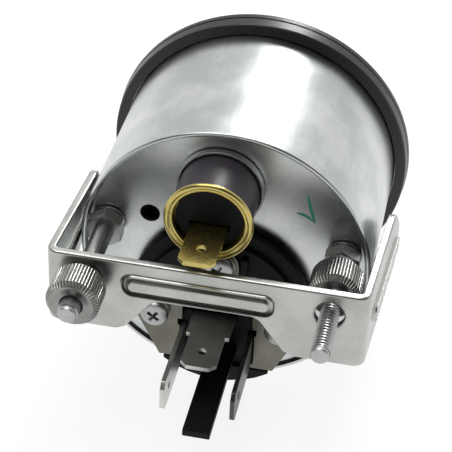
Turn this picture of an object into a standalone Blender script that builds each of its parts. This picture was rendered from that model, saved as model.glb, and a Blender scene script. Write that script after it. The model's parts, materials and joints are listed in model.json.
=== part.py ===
"""Round dashboard fuel gauge with a clamp bracket, as a Blender model.

Units are metres. The dial faces -Y, the terminals point along +Y and twelve
o'clock is +Z. The origin is the centre of the bezel's rear plane, which is the
plane that seats on the front of the dashboard panel. A length named with _Y is
a place along the case's axis; other lengths are sizes.
"""
import math

import bmesh
import bpy
from mathutils import Matrix, Vector

COLLECTION_NAME = "fuel_gauge"
GAP = 0.0003                    # between pieces that touch
FIT = 0.00025                   # around a rod in its hole
OVERCUT = 0.001                 # how far a cut runs past the faces it opens

# Case: a drawn zinc-plated can
CASE_RADIUS = 0.0260
CASE_LENGTH = 0.0337            # bezel plane to the crest of the rear rim
CASE_WALL = 0.0008
RIM_BEAD = 0.0009               # width of the rounded bead around the rear plate
BEAD_FILLET = 0.0001
PLATE_RECESS = 0.0008           # rear plate below the bead's crest
FLANGE_SETBACK = 0.0008         # bezel plane to the turned-out front edge
FLANGE_THICKNESS = 0.0006
SMALL_HOLE_RADIUS = 0.0018
SMALL_HOLE_INWARD = 0.0074      # from the left stud's axis
SMALL_HOLE_RISE = 0.0027

# Front: bezel, lens, seal, mask and dial
BEZEL_STEP = 0.0023             # rear flange beyond the case, which seats on the panel
BEZEL_TAPER = 0.0003            # front of the band beyond its rear
BEZEL_SKIN = 0.0005
BEZEL_LIP = 0.0036              # width of the lip over the lens
BEZEL_CHAMFER = 0.0009
LENS_THICKNESS = 0.0012
LENS_CHAMFER = 0.0003
SEAL_THICKNESS = 0.0006
SEAL_WIDTH = 0.0019
MASK_WALL = 0.0009
MASK_FOOT = 0.0026
DIAL_Y = 0.0030                 # front face of the dial
DIAL_THICKNESS = 0.0005
DIAL_BORE = 0.0015

# Pointer and spindle
SPINDLE_RADIUS = 0.0005
POINTER_THICKNESS = 0.0004
POINTER_TIP_CLEARANCE = 0.0052  # tip to the case's wall
POINTER_TAIL = 0.0055
POINTER_ROOT_WIDTH = 0.0022
POINTER_TIP_WIDTH = 0.0006
POINTER_ABOVE_DIAL = 0.0011
POINTER_REST_ANGLE = math.radians(40.0)    # left of twelve o'clock, at empty
HUB_RADIUS = 0.0032
HUB_HEIGHT = 0.0021
HUB_ROOF = 0.0009

# Movement: two former halves, crossed coils, magnet and frame plate
MOVEMENT_TO_BULB = 0.0010
DIAL_TO_COIL = 0.0016
FORMER_WALL = 0.0038            # end wall that holds a bearing
FORMER_SIDE_WALL = 0.0014
ROTOR_CLEARANCE = 0.0005
COIL_THICKNESS = 0.0014
COIL_INSET = 0.0015             # winding's edge inside the former's side
BEARING_RADIUS = 0.0014
FRAME_THICKNESS = 0.0010
FRAME_EDGE = 0.0008             # frame plate beyond its posts and pillars
FRAME_TO_BULB = 0.0032
POST_RADIUS = 0.0016
POST_CLEARANCE = 0.0009         # post to the outer coil
POST_DROP = 0.0055              # post's axis below the frame plate's top edge
PILLAR_RADIUS = 0.0024
PILLAR_LENGTH = 0.0030
RESISTOR_RADIUS = 0.0013
RESISTOR_LENGTH = 0.0110
RESISTOR_DROP = 0.0072          # below the top pillar's axis

# Mounting studs, their nuts and washers
STUD_FROM_EDGE = 0.00458        # studs' circle inside the case's edge
STUD_ANGLE = math.radians(11.31)    # above the horizontal
STUD_RADIUS = 0.00165
STUD_REACH = 0.0270             # from the rim's crest to the stud's tip
STUD_CHAMFER = 0.0004
STUD_HEAD_RADIUS = 0.0032
STUD_HEAD_THICKNESS = 0.0011
WASHER_RADIUS = 0.0031
WASHER_THICKNESS = 0.0005
NUT_FLATS = 0.0060
NUT_THICKNESS = 0.0028
NUT_CHAMFER = 0.0004

# Knurled thumb nuts
THUMB_RADIUS = 0.0046
THUMB_KNURL_LENGTH = 0.0060
THUMB_COLLAR_LENGTH = 0.0015
THUMB_COLLAR_RADIUS = 0.0034
THUMB_CHAMFER = 0.0006
KNURL_RIDGES = 48
KNURL_DEPTH = 0.00022

# Clamp bracket: one sheet-metal strip bent into a U
BRACKET_STANDOFF = 0.0165       # rim's crest to the web's outer face
BRACKET_SHEET = 0.0015
BRACKET_CLEARANCE = 0.0001      # case to a leg's inner face, before the legs are set
BRACKET_RISE = 0.0046           # top edge above the studs' axes
BRACKET_STRIP = 0.0076          # height of the web between its deep tabs
BRACKET_BEND = 0.0021
LEG_LENGTH = 0.0315             # web's outer face to the feet
LEG_SLOPE_LENGTH = 0.0060       # sloping top corner of each leg
LEG_SLOPE_DROP = 0.0078
RIGHT_LEG_SPLAY = 0.00175
TAB_DROP = 0.0100               # studs' axes to the lower edge of tabs and legs
TAB_HALF_LENGTH = 0.0065        # stud's axis to the tab's inner corner
TAB_SLOPE = 0.0059
BRACKET_HOLE_RADIUS = 0.0025
WEB_RIB_LEFT_END = 0.0068       # stud's axis to the rib's end
WEB_RIB_RIGHT_END = 0.0092
WEB_RIB_HALF_HEIGHT = 0.0021
RIB_PROUD = 0.0009
LEG_RIB_PROUD = 0.0005
LEG_RIB_HALF_HEIGHT = 0.0016
LEG_RIB_SETBACK = 0.0028        # behind the foot
LEG_RIB_FROM_WEB = 0.0062
LEG_RIB_DROP = 0.0083           # below the leg's top edge

# Lamp holder
LAMP_X = 0.0011
LAMP_FROM_TOP = 0.0110          # lamp's axis below the case's top
SOCKET_RADIUS = 0.0070
SOCKET_WALL = 0.00035
SOCKET_LENGTH = 0.0101          # rear plate to the socket's open end
SOCKET_FLANGE_RADIUS = 0.0084
SOCKET_FLANGE_THICKNESS = 0.0009
FERRULE_WALL = 0.00045
FERRULE_HEIGHT = 0.0013
SHELL_LIP_RADIUS = 0.0077
SHELL_LIP_THICKNESS = 0.0012
SHELL_LIP_GROOVE = 0.00025
SHELL_WALL = 0.0003
SHELL_SLEEVE_RADIUS = 0.0053
SHELL_SLEEVE_LENGTH = 0.0110
SHELL_SHOULDER = 0.0021         # from the lip's front face to the shoulder
INSULATOR_THICKNESS = 0.0013
LAMP_TAB_WIDTH = 0.0064
LAMP_TAB_THICKNESS = 0.0008
LAMP_TAB_DROP = 0.0017          # tab below the lamp's axis
LAMP_TAB_REACH = 0.0110         # from the insulator to the tab's tip
BULB_RADIUS = 0.0043
BULB_CAP_RADIUS = 0.0045
BULB_CAP_LENGTH = 0.0065
BULB_GLASS_LENGTH = 0.0105
SPRING_LENGTH = 0.0038
SPRING_RADIUS = 0.0024
SPRING_WIRE = 0.0003
SPRING_TURNS = 3

# Terminal block
BASE_DROP = 0.0090              # base's axis below the case's axis
BASE_MARGIN = 0.0005            # base inside the case's lower edge
BASE_FLANGE = 0.0012
BASE_STEP = 0.0025              # boss inside the flange
BASE_BOSS = 0.0010              # boss above the flange
BASE_LOBE_HALF_WIDTH = 0.0097   # lower part, below the ears
BASE_EAR_DROP = 0.0032          # ears' lower edge below the screws' axis
PLUG_WINDOW_RISE = 0.0006       # above the base's axis; the window is open at the plate's foot
PLUG_WINDOW_HALF_WIDTH = 0.0064
TERMINAL_PLATE_THICKNESS = 0.0008
TERMINAL_PLATE_DROP = 0.0121    # base's axis to the plate's straight foot
PLATE_EAR_RADIUS = 0.0038
PLATE_TONGUE_RADIUS = 0.0033
PLATE_SHOULDER_RISE = 0.0045    # tongue's root above the base's axis
PLATE_NOTCH_DEPTH = 0.0008      # into the window's side, above each side tab
PLATE_NOTCH_HEIGHT = 0.0014
PLATE_FOOT_INSET = 0.0008
SCREW_X = 0.0113
SCREW_DROP = 0.0020             # below the base's axis
TOP_SCREW_X = -0.0001
TOP_SCREW_TO_LAMP = 0.0068      # screw's axis below the lamp socket
SCREW_HEAD_RADIUS = 0.0026
SCREW_HEAD_HEIGHT = 0.0018
SCREW_RADIUS = 0.00125
SCREW_LENGTH = 0.0072           # below the head
SCREW_CROSS_LENGTH = 0.0028
SCREW_CROSS_WIDTH = 0.0007
SCREW_CROSS_DEPTH = 0.0011
TAB_WIDTH = 0.0063
TAB_THICKNESS = 0.0008
CENTRE_TAB_X = 0.0007
CENTRE_TAB_DROP = 0.0020        # below the base's axis
CENTRE_TAB_REACH = 0.0175       # rim's crest to the tip
CENTRE_TAB_SHOULDER = 0.0088    # rim's crest to the shoulders
CENTRE_TAB_WIDE = 0.0077
SIDE_TAB_X = 0.0062
SIDE_TAB_DROP = 0.0078
SIDE_TAB_REACH = 0.0203
TAB_INSIDE = 0.0024             # tab behind the rear plate's inner face
TAB_HOLE_RADIUS = 0.00085
TAB_HOLE_FROM_TIP = 0.0042
TAB_TIP_CHAMFER = 0.0011
KEY_X = -0.0012
KEY_DROP = 0.0090
KEY_WIDTH = 0.0048
KEY_THICKNESS = 0.0013
KEY_REACH = 0.0264

# Places worked out from the sizes above
PLATE_Y = CASE_LENGTH - PLATE_RECESS
PLATE_INNER_Y = PLATE_Y - CASE_WALL
CASE_INNER = CASE_RADIUS - CASE_WALL
FLANGE_Y = -FLANGE_SETBACK
BEZEL_REAR_RADIUS = CASE_RADIUS + BEZEL_STEP
BEZEL_RADIUS = BEZEL_REAR_RADIUS + BEZEL_TAPER
FLANGE_RADIUS = BEZEL_REAR_RADIUS - BEZEL_SKIN - GAP
SEAL_Y = FLANGE_Y - FLANGE_THICKNESS - GAP
LENS_Y = SEAL_Y - SEAL_THICKNESS - GAP
LENS_FRONT_Y = LENS_Y - LENS_THICKNESS
BEZEL_LIP_Y = LENS_FRONT_Y - GAP
BEZEL_FRONT_Y = BEZEL_LIP_Y - BEZEL_SKIN
POINTER_Y = DIAL_Y - POINTER_ABOVE_DIAL
POINTER_LENGTH = CASE_INNER - POINTER_TIP_CLEARANCE
LAMP_Z = CASE_RADIUS - LAMP_FROM_TOP
BASE_Z = -BASE_DROP
BASE_RADIUS = CASE_RADIUS - BASE_DROP - BASE_MARGIN
BASE_BOSS_RADIUS = BASE_RADIUS - BASE_STEP
SCREW_Z = BASE_Z - SCREW_DROP
TOP_SCREW_Z = LAMP_Z - SOCKET_RADIUS - TOP_SCREW_TO_LAMP
CENTRE_TAB_Z = BASE_Z - CENTRE_TAB_DROP
SIDE_TAB_Z = BASE_Z - SIDE_TAB_DROP
KEY_Z = BASE_Z - KEY_DROP
PILLAR_Y = PLATE_INNER_Y - GAP - PILLAR_LENGTH
FRAME_Y = PILLAR_Y - GAP - FRAME_THICKNESS
FORMER_REAR_Y = FRAME_Y - GAP - 2 * (GAP + COIL_THICKNESS)
FORMER_Y = DIAL_Y + DIAL_THICKNESS + DIAL_TO_COIL + 2 * (GAP + COIL_THICKNESS)
FORMER_HALF = LAMP_Z - BULB_RADIUS - MOVEMENT_TO_BULB - COIL_THICKNESS - GAP
ROTOR_RADIUS = FORMER_HALF - FORMER_SIDE_WALL - ROTOR_CLEARANCE
POST_X = FORMER_HALF + GAP + COIL_THICKNESS + POST_CLEARANCE + POST_RADIUS
FRAME_HALF_WIDTH = POST_X + POST_RADIUS + FRAME_EDGE
FRAME_TOP_Z = LAMP_Z - BULB_RADIUS - FRAME_TO_BULB
FRAME_BOTTOM_Z = SCREW_Z - PILLAR_RADIUS - FRAME_EDGE
POST_Z = FRAME_TOP_Z - POST_DROP
RESISTOR_Z = TOP_SCREW_Z - RESISTOR_DROP
STUD_HALF_SPACING = (CASE_RADIUS - STUD_FROM_EDGE) * math.cos(STUD_ANGLE)
STUD_Z = (CASE_RADIUS - STUD_FROM_EDGE) * math.sin(STUD_ANGLE)
SMALL_HOLE_X = STUD_HALF_SPACING - SMALL_HOLE_INWARD
SMALL_HOLE_Z = STUD_Z + SMALL_HOLE_RISE
BRACKET_Y = CASE_LENGTH + BRACKET_STANDOFF
BRACKET_HALF_WIDTH = CASE_RADIUS + BRACKET_CLEARANCE + BRACKET_SHEET
BRACKET_TOP_Z = STUD_Z + BRACKET_RISE
LEG_FRONT_Y = BRACKET_Y - LEG_LENGTH
LEG_SLOPE_Y = LEG_FRONT_Y + LEG_SLOPE_LENGTH
LEG_RIB_FRONT_Y = LEG_FRONT_Y + LEG_RIB_SETBACK
LEG_RIB_REAR_Y = BRACKET_Y - LEG_RIB_FROM_WEB
LEG_RIB_Z = BRACKET_TOP_Z - LEG_RIB_DROP
TAB_BOTTOM_Z = STUD_Z - TAB_DROP
TAB_INNER_X = STUD_HALF_SPACING - TAB_HALF_LENGTH
TAB_ROOT_X = TAB_INNER_X - TAB_SLOPE
WEB_RIB_LEFT_X = STUD_HALF_SPACING - WEB_RIB_LEFT_END
WEB_RIB_RIGHT_X = WEB_RIB_RIGHT_END - STUD_HALF_SPACING
WASHER_Y = PLATE_Y + GAP
NUT_Y = WASHER_Y + WASHER_THICKNESS + GAP
NUT_REAR_Y = NUT_Y + NUT_THICKNESS
STUD_TIP_Y = CASE_LENGTH + STUD_REACH
LEFT_THUMB_Y = BRACKET_Y + GAP
RIGHT_WASHER_Y = NUT_REAR_Y + GAP
RIGHT_THUMB_Y = RIGHT_WASHER_Y + WASHER_THICKNESS + GAP
WEB_INNER_Y = BRACKET_Y - BRACKET_SHEET
STRIP_BOTTOM_Z = BRACKET_TOP_Z - BRACKET_STRIP
SOCKET_END_Y = PLATE_Y + SOCKET_LENGTH
SHELL_LIP_Y = SOCKET_END_Y + GAP
SHELL_OUTER = SOCKET_RADIUS - SOCKET_WALL - FIT
SHELL_SHOULDER_Y = SHELL_LIP_Y - SHELL_SHOULDER
INSULATOR_Y = SHELL_SHOULDER_Y + GAP
INSULATOR_REAR_Y = INSULATOR_Y + INSULATOR_THICKNESS
BASE_FLANGE_Y = CASE_LENGTH + GAP
BASE_BOSS_Y = BASE_FLANGE_Y + BASE_FLANGE
BASE_FACE_Y = BASE_BOSS_Y + BASE_BOSS
TERMINAL_PLATE_Y = BASE_FACE_Y + GAP
SCREW_HEAD_Y = TERMINAL_PLATE_Y + TERMINAL_PLATE_THICKNESS + GAP
SCREW_PLACES = ((SCREW_X, SCREW_Z), (-SCREW_X, SCREW_Z), (TOP_SCREW_X, TOP_SCREW_Z))

FINE = 64                       # facets around the case
MEDIUM = 32
SMALL = 16

# Colour, roughness and metallic value of each finish
FINISHES = {
    "zinc": ((0.62, 0.64, 0.62), 0.32, 1.0),
    "zinc_bright": ((0.72, 0.73, 0.72), 0.25, 1.0),
    "bezel_black": ((0.035, 0.036, 0.040), 0.45, 0.0),
    "glass": ((0.92, 0.95, 0.95), 0.05, 0.0),
    "rubber": ((0.02, 0.02, 0.02), 0.8, 0.0),
    "black_plastic": ((0.012, 0.013, 0.015), 0.4, 0.0),
    "dial_black": ((0.01, 0.01, 0.012), 0.6, 0.0),
    "pointer_orange": ((0.85, 0.20, 0.04), 0.5, 0.0),
    "steel": ((0.55, 0.56, 0.58), 0.3, 1.0),
    "magnet": ((0.12, 0.12, 0.13), 0.5, 0.6),
    "nylon": ((0.80, 0.78, 0.70), 0.5, 0.0),
    "copper": ((0.75, 0.32, 0.16), 0.35, 1.0),
    "brass": ((0.74, 0.56, 0.20), 0.28, 1.0),
    "resistor": ((0.35, 0.42, 0.40), 0.5, 0.0),
}


def clear_scene():
    """Start from an empty scene."""
    for old in list(bpy.data.objects):
        bpy.data.objects.remove(old, do_unlink=True)


def new_collection(name):
    """Make a collection and link it to the scene."""
    made = bpy.data.collections.new(name)
    bpy.context.scene.collection.children.link(made)
    return made


def new_material(node_name, finish):
    """Give a sub-part its own Principled material."""
    colour, roughness, metallic = FINISHES[finish]
    made = bpy.data.materials.new(node_name)
    made.use_nodes = True
    shader = made.node_tree.nodes["Principled BSDF"]
    shader.inputs["Base Color"].default_value = (*colour, 1.0)
    shader.inputs["Roughness"].default_value = roughness
    shader.inputs["Metallic"].default_value = metallic
    made.diffuse_color = (*colour, 1.0)
    return made


def add_part(name, mesh, finish, location=(0.0, 0.0, 0.0)):
    """Link a mesh to the gauge's collection as a named sub-part."""
    made = bpy.data.objects.new(name, mesh)
    made.location = location
    mesh.materials.append(new_material(name, finish))
    parts.objects.link(made)
    return made


def add_cutter(mesh, location=(0.0, 0.0, 0.0)):
    """Link a mesh to the cutters' collection, hidden from the model."""
    made = bpy.data.objects.new("cutter", mesh)
    made.location = location
    made.hide_render = True
    made.display_type = "WIRE"
    cutters.objects.link(made)
    return made


def combine(target, tool, operation="DIFFERENCE"):
    """Cut, join or intersect a sub-part with a tool solid."""
    modifier = target.modifiers.new(operation.lower(), "BOOLEAN")
    modifier.operation = operation
    modifier.solver = "EXACT"
    modifier.object = tool


def profile_mesh(name, points, closed):
    """Make the half section of a turned piece, with radius along X and axis along Z."""
    mesh = bpy.data.meshes.new(name)
    shape = bmesh.new()
    corners = [shape.verts.new((radius, 0.0, along)) for radius, along in points]
    for first, second in zip(corners, corners[1:]):
        shape.edges.new((first, second))
    if closed:
        shape.edges.new((corners[-1], corners[0]))
    shape.to_mesh(mesh)
    shape.free()
    return mesh


def screw(target, steps):
    """Turn a half section about the object's own Z axis, laid along world Y."""
    target.rotation_euler = (-math.pi / 2, 0.0, 0.0)
    modifier = target.modifiers.new("turn", "SCREW")
    modifier.axis = "Z"
    modifier.angle = 2 * math.pi
    modifier.steps = steps
    modifier.render_steps = steps
    modifier.use_merge_vertices = True
    modifier.merge_threshold = 0.00001
    modifier.use_smooth_shade = True


def turned(name, points, finish, x=0.0, z=0.0, steps=MEDIUM, closed=False):
    """Turn a section about a line along Y; the points run rear to front outside."""
    made = add_part(name, profile_mesh(name, points, closed), finish, (x, 0.0, z))
    screw(made, steps)
    return made


def turned_cutter(points, x=0.0, z=0.0, steps=MEDIUM, closed=False):
    """Make a turned solid that is only used to cut or trim others."""
    made = add_cutter(profile_mesh("cutter", points, closed), (x, 0.0, z))
    screw(made, steps)
    return made


def rod_points(radius, front, rear, chamfer=0.0):
    """Section of a rod along Y, with its two ends chamfered."""
    if chamfer == 0.0:
        return [(0.0, rear), (radius, rear), (radius, front), (0.0, front)]
    return [(0.0, rear), (radius - chamfer, rear), (radius, rear - chamfer),
            (radius, front + chamfer), (radius - chamfer, front), (0.0, front)]


def ring_points(inner, outer, front, rear):
    """Section of a plain ring along Y."""
    return [(outer, rear), (outer, front), (inner, front), (inner, rear)]


def box_mesh(low, high):
    """Make a box between two corners, in world coordinates."""
    mesh = bpy.data.meshes.new("box")
    shape = bmesh.new()
    bmesh.ops.create_cube(shape, size=1.0)
    size = [b - a for a, b in zip(low, high)]
    middle = [(a + b) / 2 for a, b in zip(low, high)]
    bmesh.ops.scale(shape, vec=size, verts=shape.verts)
    bmesh.ops.translate(shape, vec=middle, verts=shape.verts)
    shape.to_mesh(mesh)
    shape.free()
    return mesh


def cut_box(target, low, high):
    """Cut a box-shaped space out of a sub-part."""
    combine(target, add_cutter(box_mesh(low, high)))


def cut_hole(target, radius, x, z, front, rear, steps=SMALL):
    """Drill a sub-part along Y."""
    combine(target, turned_cutter(rod_points(radius, front, rear), x, z, steps))


def arc(centre_u, centre_v, radius, start, end, count):
    """Points along an arc, with angles in degrees."""
    points = []
    for index in range(count + 1):
        angle = math.radians(start + (end - start) * index / count)
        points.append((centre_u + radius * math.cos(angle), centre_v + radius * math.sin(angle)))
    return points


def outline_mesh(name, outline, thickness):
    """Fill a flat outline in local XY and give it a thickness about z = 0."""
    curve = bpy.data.curves.new(name, "CURVE")
    curve.dimensions = "2D"
    curve.fill_mode = "BOTH"
    curve.extrude = thickness / 2
    spline = curve.splines.new("POLY")
    spline.points.add(len(outline) - 1)
    for point, (u, v) in zip(spline.points, outline):
        point.co = (u, v, 0.0, 1.0)
    spline.use_cyclic_u = True
    guide = bpy.data.objects.new(name, curve)
    cutters.objects.link(guide)
    evaluated = guide.evaluated_get(bpy.context.evaluated_depsgraph_get())
    mesh = bpy.data.meshes.new_from_object(evaluated)
    bpy.data.objects.remove(guide, do_unlink=True)
    shape = bmesh.new()
    shape.from_mesh(mesh)
    bmesh.ops.remove_doubles(shape, verts=shape.verts, dist=0.000005)
    bmesh.ops.recalc_face_normals(shape, faces=shape.faces)
    shape.to_mesh(mesh)
    shape.free()
    return mesh


def facing_y(mesh, front, rear):
    """Stand a flat outline up so that its thickness runs along Y."""
    place = Matrix.Translation((0.0, (front + rear) / 2, 0.0))
    mesh.transform(place @ Matrix.Rotation(math.pi / 2, 4, "X"))
    return mesh


def facing_x(mesh, low, high):
    """Stand a (Y, Z) outline up so that its thickness runs along X."""
    turn = Matrix(((0, 0, 1, 0), (1, 0, 0, 0), (0, 1, 0, 0), (0, 0, 0, 1)))
    mesh.transform(Matrix.Translation(((low + high) / 2, 0.0, 0.0)) @ turn)
    return mesh


def facing_z(mesh, low, high):
    """Lay a flat outline so that its thickness runs along Z."""
    mesh.transform(Matrix.Translation((0.0, 0.0, (low + high) / 2)))
    return mesh


def empty_at(name, x, z):
    """Place an empty on a moving group's axis."""
    made = bpy.data.objects.new(name, None)
    made.location = (x, 0.0, z)
    made.empty_display_size = 0.005
    parts.objects.link(made)
    return made


def carry(parent, *children):
    """Parent pieces to a carrier without moving them."""
    for child in children:
        child.parent = parent
        child.matrix_parent_inverse = Matrix.Translation(-Vector(parent.location))


def build_case():
    """Drawn can with its rear plate, rounded rim bead and turned-out front flange."""
    bead_inner = CASE_RADIUS - RIM_BEAD
    half = RIM_BEAD / 2
    crest = arc(CASE_RADIUS - half, CASE_LENGTH - half, half, 160, 0, 4)
    points = [(0.0, PLATE_Y), (bead_inner - BEAD_FILLET, PLATE_Y), *crest,
              (CASE_RADIUS, FLANGE_Y), (FLANGE_RADIUS, FLANGE_Y),
              (FLANGE_RADIUS, FLANGE_Y - FLANGE_THICKNESS),
              (CASE_INNER, FLANGE_Y - FLANGE_THICKNESS),
              (CASE_INNER, PLATE_INNER_Y), (0.0, PLATE_INNER_Y)]
    case = turned("case_shell", points, "zinc", steps=FINE)
    front = PLATE_INNER_Y - CASE_WALL
    rear = PLATE_Y + CASE_WALL
    cut_hole(case, SOCKET_RADIUS + GAP, LAMP_X, LAMP_Z, front, rear, MEDIUM)
    cut_hole(case, SMALL_HOLE_RADIUS, SMALL_HOLE_X, SMALL_HOLE_Z, front, rear)
    for side in (1, -1):
        cut_hole(case, STUD_RADIUS + FIT, side * STUD_HALF_SPACING, STUD_Z, front, rear)
    for x, z in SCREW_PLACES:
        cut_hole(case, SCREW_RADIUS + FIT, x, z, front, rear)
    cut_box(case, (-SIDE_TAB_X - TAB_THICKNESS, front, SIDE_TAB_Z - TAB_WIDTH / 2 - GAP),
            (SIDE_TAB_X + TAB_THICKNESS, rear, CENTRE_TAB_Z + TAB_THICKNESS / 2 + GAP))


def build_bezel():
    """Rolled bezel: rear flange on the panel, side band and lip over the lens."""
    inner_rear = BEZEL_REAR_RADIUS - BEZEL_SKIN
    inner_front = BEZEL_RADIUS - BEZEL_SKIN
    lip_inner = BEZEL_RADIUS - BEZEL_LIP
    points = [(BEZEL_REAR_RADIUS, 0.0), (BEZEL_RADIUS, LENS_Y),
              (BEZEL_RADIUS, BEZEL_FRONT_Y + BEZEL_CHAMFER),
              (BEZEL_RADIUS - BEZEL_CHAMFER, BEZEL_FRONT_Y),
              (lip_inner, BEZEL_FRONT_Y), (lip_inner, BEZEL_LIP_Y),
              (inner_front - BEZEL_CHAMFER, BEZEL_LIP_Y),
              (inner_front, BEZEL_LIP_Y + BEZEL_CHAMFER), (inner_rear, FLANGE_Y + GAP),
              (CASE_RADIUS + GAP, FLANGE_Y + GAP), (CASE_RADIUS + GAP, 0.0)]
    turned("bezel_ring", points, "bezel_black", steps=FINE, closed=True)


def build_front():
    """Lens, its seal, the mask ring and the dial."""
    lens_radius = FLANGE_RADIUS - LENS_CHAMFER
    lens = rod_points(lens_radius, LENS_FRONT_Y, LENS_Y, LENS_CHAMFER)
    turned("lens", lens, "glass", steps=FINE)
    seal = ring_points(FLANGE_RADIUS - SEAL_WIDTH, FLANGE_RADIUS, SEAL_Y - SEAL_THICKNESS, SEAL_Y)
    turned("lens_seal", seal, "rubber", steps=FINE, closed=True)
    mask_outer = CASE_INNER - GAP
    mask_front = LENS_Y + GAP
    mask_rear = DIAL_Y - GAP
    turned("mask_ring", [(mask_outer, mask_rear), (mask_outer, mask_front),
                         (mask_outer - MASK_WALL, mask_front),
                         (mask_outer - MASK_FOOT, mask_rear - MASK_WALL),
                         (mask_outer - MASK_FOOT, mask_rear)],
           "dial_black", steps=FINE, closed=True)
    turned("dial_plate", ring_points(DIAL_BORE, mask_outer, DIAL_Y, DIAL_Y + DIAL_THICKNESS),
           "dial_black", steps=FINE, closed=True)


def build_pointer():
    """Pointer, hub cap, spindle and magnet, which turn together."""
    lean = Matrix.Rotation(POINTER_REST_ANGLE, 4, "Z")
    root = POINTER_ROOT_WIDTH / 2
    tip = POINTER_TIP_WIDTH / 2
    outline = [(-root, -POINTER_TAIL), (root, -POINTER_TAIL), (root, 0.0),
               (tip, POINTER_LENGTH), (-tip, POINTER_LENGTH), (-root, 0.0)]
    blade = outline_mesh("pointer", outline, POINTER_THICKNESS)
    blade.transform(lean)
    blade = facing_y(blade, POINTER_Y - POINTER_THICKNESS, POINTER_Y)
    pointer = add_part("pointer", blade, "pointer_orange")
    cut_hole(pointer, SPINDLE_RADIUS + FIT, 0.0, 0.0, POINTER_Y - DIAL_Y, DIAL_Y)
    hub_rear = POINTER_Y - POINTER_THICKNESS - GAP
    hub_front = hub_rear - HUB_HEIGHT
    bore = SPINDLE_RADIUS + FIT
    hub = turned("pointer_hub", [(0.0, hub_front + HUB_ROOF), (bore, hub_front + HUB_ROOF),
                                 (bore, hub_rear), (HUB_RADIUS, hub_rear),
                                 (HUB_RADIUS - GAP, hub_front), (0.0, hub_front)], "black_plastic")
    spindle_front = hub_front + HUB_ROOF + GAP
    rear = FORMER_REAR_Y - GAP
    rod = rod_points(SPINDLE_RADIUS, spindle_front, rear, GAP / 2)
    spindle = turned("spindle", rod, "steel", steps=SMALL)
    magnet_front = FORMER_Y + FORMER_WALL + ROTOR_CLEARANCE
    magnet_rear = FORMER_REAR_Y - FORMER_WALL - ROTOR_CLEARANCE
    ring = ring_points(bore, ROTOR_RADIUS, magnet_front, magnet_rear)
    magnet = turned("rotor_magnet", ring, "magnet", closed=True)
    carry(empty_at("pointer_axis", 0.0, 0.0), pointer, hub, spindle, magnet)


def former_half(name, wall_front, wall_rear, front, rear):
    """One half of the coil former: an end wall with a bearing bore and a chamber."""
    block = box_mesh((-FORMER_HALF, front, -FORMER_HALF), (FORMER_HALF, rear, FORMER_HALF))
    half = add_part(name, block, "nylon")
    chamber_front = wall_rear if wall_front == front else front - OVERCUT
    chamber_rear = rear + OVERCUT if wall_front == front else wall_front
    cut_hole(half, ROTOR_RADIUS + ROTOR_CLEARANCE, 0.0, 0.0, chamber_front, chamber_rear, MEDIUM)
    cut_hole(half, BEARING_RADIUS + FIT, 0.0, 0.0, front - OVERCUT, rear + OVERCUT)


def coil(name, front, rear, vertical):
    """Flat winding around the former, with a way through for the spindle."""
    half_width = FORMER_HALF - COIL_INSET
    inner = FORMER_HALF + GAP
    outer = inner + COIL_THICKNESS
    past = half_width + OVERCUT
    if vertical:
        body = box_mesh((-half_width, front, -outer), (half_width, rear, outer))
        low = (-past, front + COIL_THICKNESS, -inner)
        high = (past, rear - COIL_THICKNESS, inner)
    else:
        body = box_mesh((-outer, front, -half_width), (outer, rear, half_width))
        low = (-inner, front + COIL_THICKNESS, -past)
        high = (inner, rear - COIL_THICKNESS, past)
    winding = add_part(name, body, "copper")
    cut_box(winding, low, high)
    cut_hole(winding, BEARING_RADIUS + FIT, 0.0, 0.0, front - OVERCUT, rear + OVERCUT)


def build_movement():
    """Coil former, coils, bearings, frame plate, posts, pillars and resistor."""
    split = (FORMER_Y + FORMER_REAR_Y - GAP) / 2
    former_half("former_front", FORMER_Y, FORMER_Y + FORMER_WALL, FORMER_Y, split)
    former_half("former_rear", FORMER_REAR_Y - FORMER_WALL, FORMER_REAR_Y, split + GAP, FORMER_REAR_Y)
    inner_front = FORMER_Y - GAP - COIL_THICKNESS
    inner_rear = FORMER_REAR_Y + GAP + COIL_THICKNESS
    coil("coil_inner", inner_front, inner_rear, True)
    step = GAP + COIL_THICKNESS
    coil("coil_outer", inner_front - step, inner_rear + step, False)
    bore = SPINDLE_RADIUS + FIT
    for name, front, rear in (("bearing_front", FORMER_Y, FORMER_Y + FORMER_WALL - GAP),
                              ("bearing_rear", FORMER_REAR_Y - FORMER_WALL + GAP, FORMER_REAR_Y)):
        turned(name, ring_points(bore, BEARING_RADIUS, front, rear), "brass", steps=SMALL, closed=True)
    plate = box_mesh((-FRAME_HALF_WIDTH, FRAME_Y, FRAME_BOTTOM_Z),
                     (FRAME_HALF_WIDTH, FRAME_Y + FRAME_THICKNESS, FRAME_TOP_Z))
    frame = add_part("movement_frame", plate, "zinc")
    corner = frame.modifiers.new("corners", "BEVEL")
    corner.width = FRAME_THICKNESS / 4
    corner.segments = 1
    post = rod_points(POST_RADIUS, DIAL_Y + DIAL_THICKNESS + GAP, FRAME_Y - GAP, GAP)
    for side, word in ((1, "left"), (-1, "right")):
        turned("dial_post_" + word, post, "steel", side * POST_X, POST_Z, SMALL)
    pillar = ring_points(SCREW_RADIUS + FIT, PILLAR_RADIUS, PILLAR_Y, PLATE_INNER_Y - GAP)
    for word, (x, z) in zip(("left", "right", "top"), SCREW_PLACES):
        turned("pillar_" + word, pillar, "brass", x, z, SMALL, closed=True)
    body = bpy.data.meshes.new("resistor")
    shape = bmesh.new()
    bmesh.ops.create_cone(shape, cap_ends=True, segments=SMALL, radius1=RESISTOR_RADIUS,
                          radius2=RESISTOR_RADIUS, depth=RESISTOR_LENGTH)
    shape.to_mesh(body)
    shape.free()
    body.transform(Matrix.Rotation(math.pi / 2, 4, "Y"))
    add_part("resistor", body, "resistor", (0.0, PILLAR_Y + RESISTOR_RADIUS, RESISTOR_Z))


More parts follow.
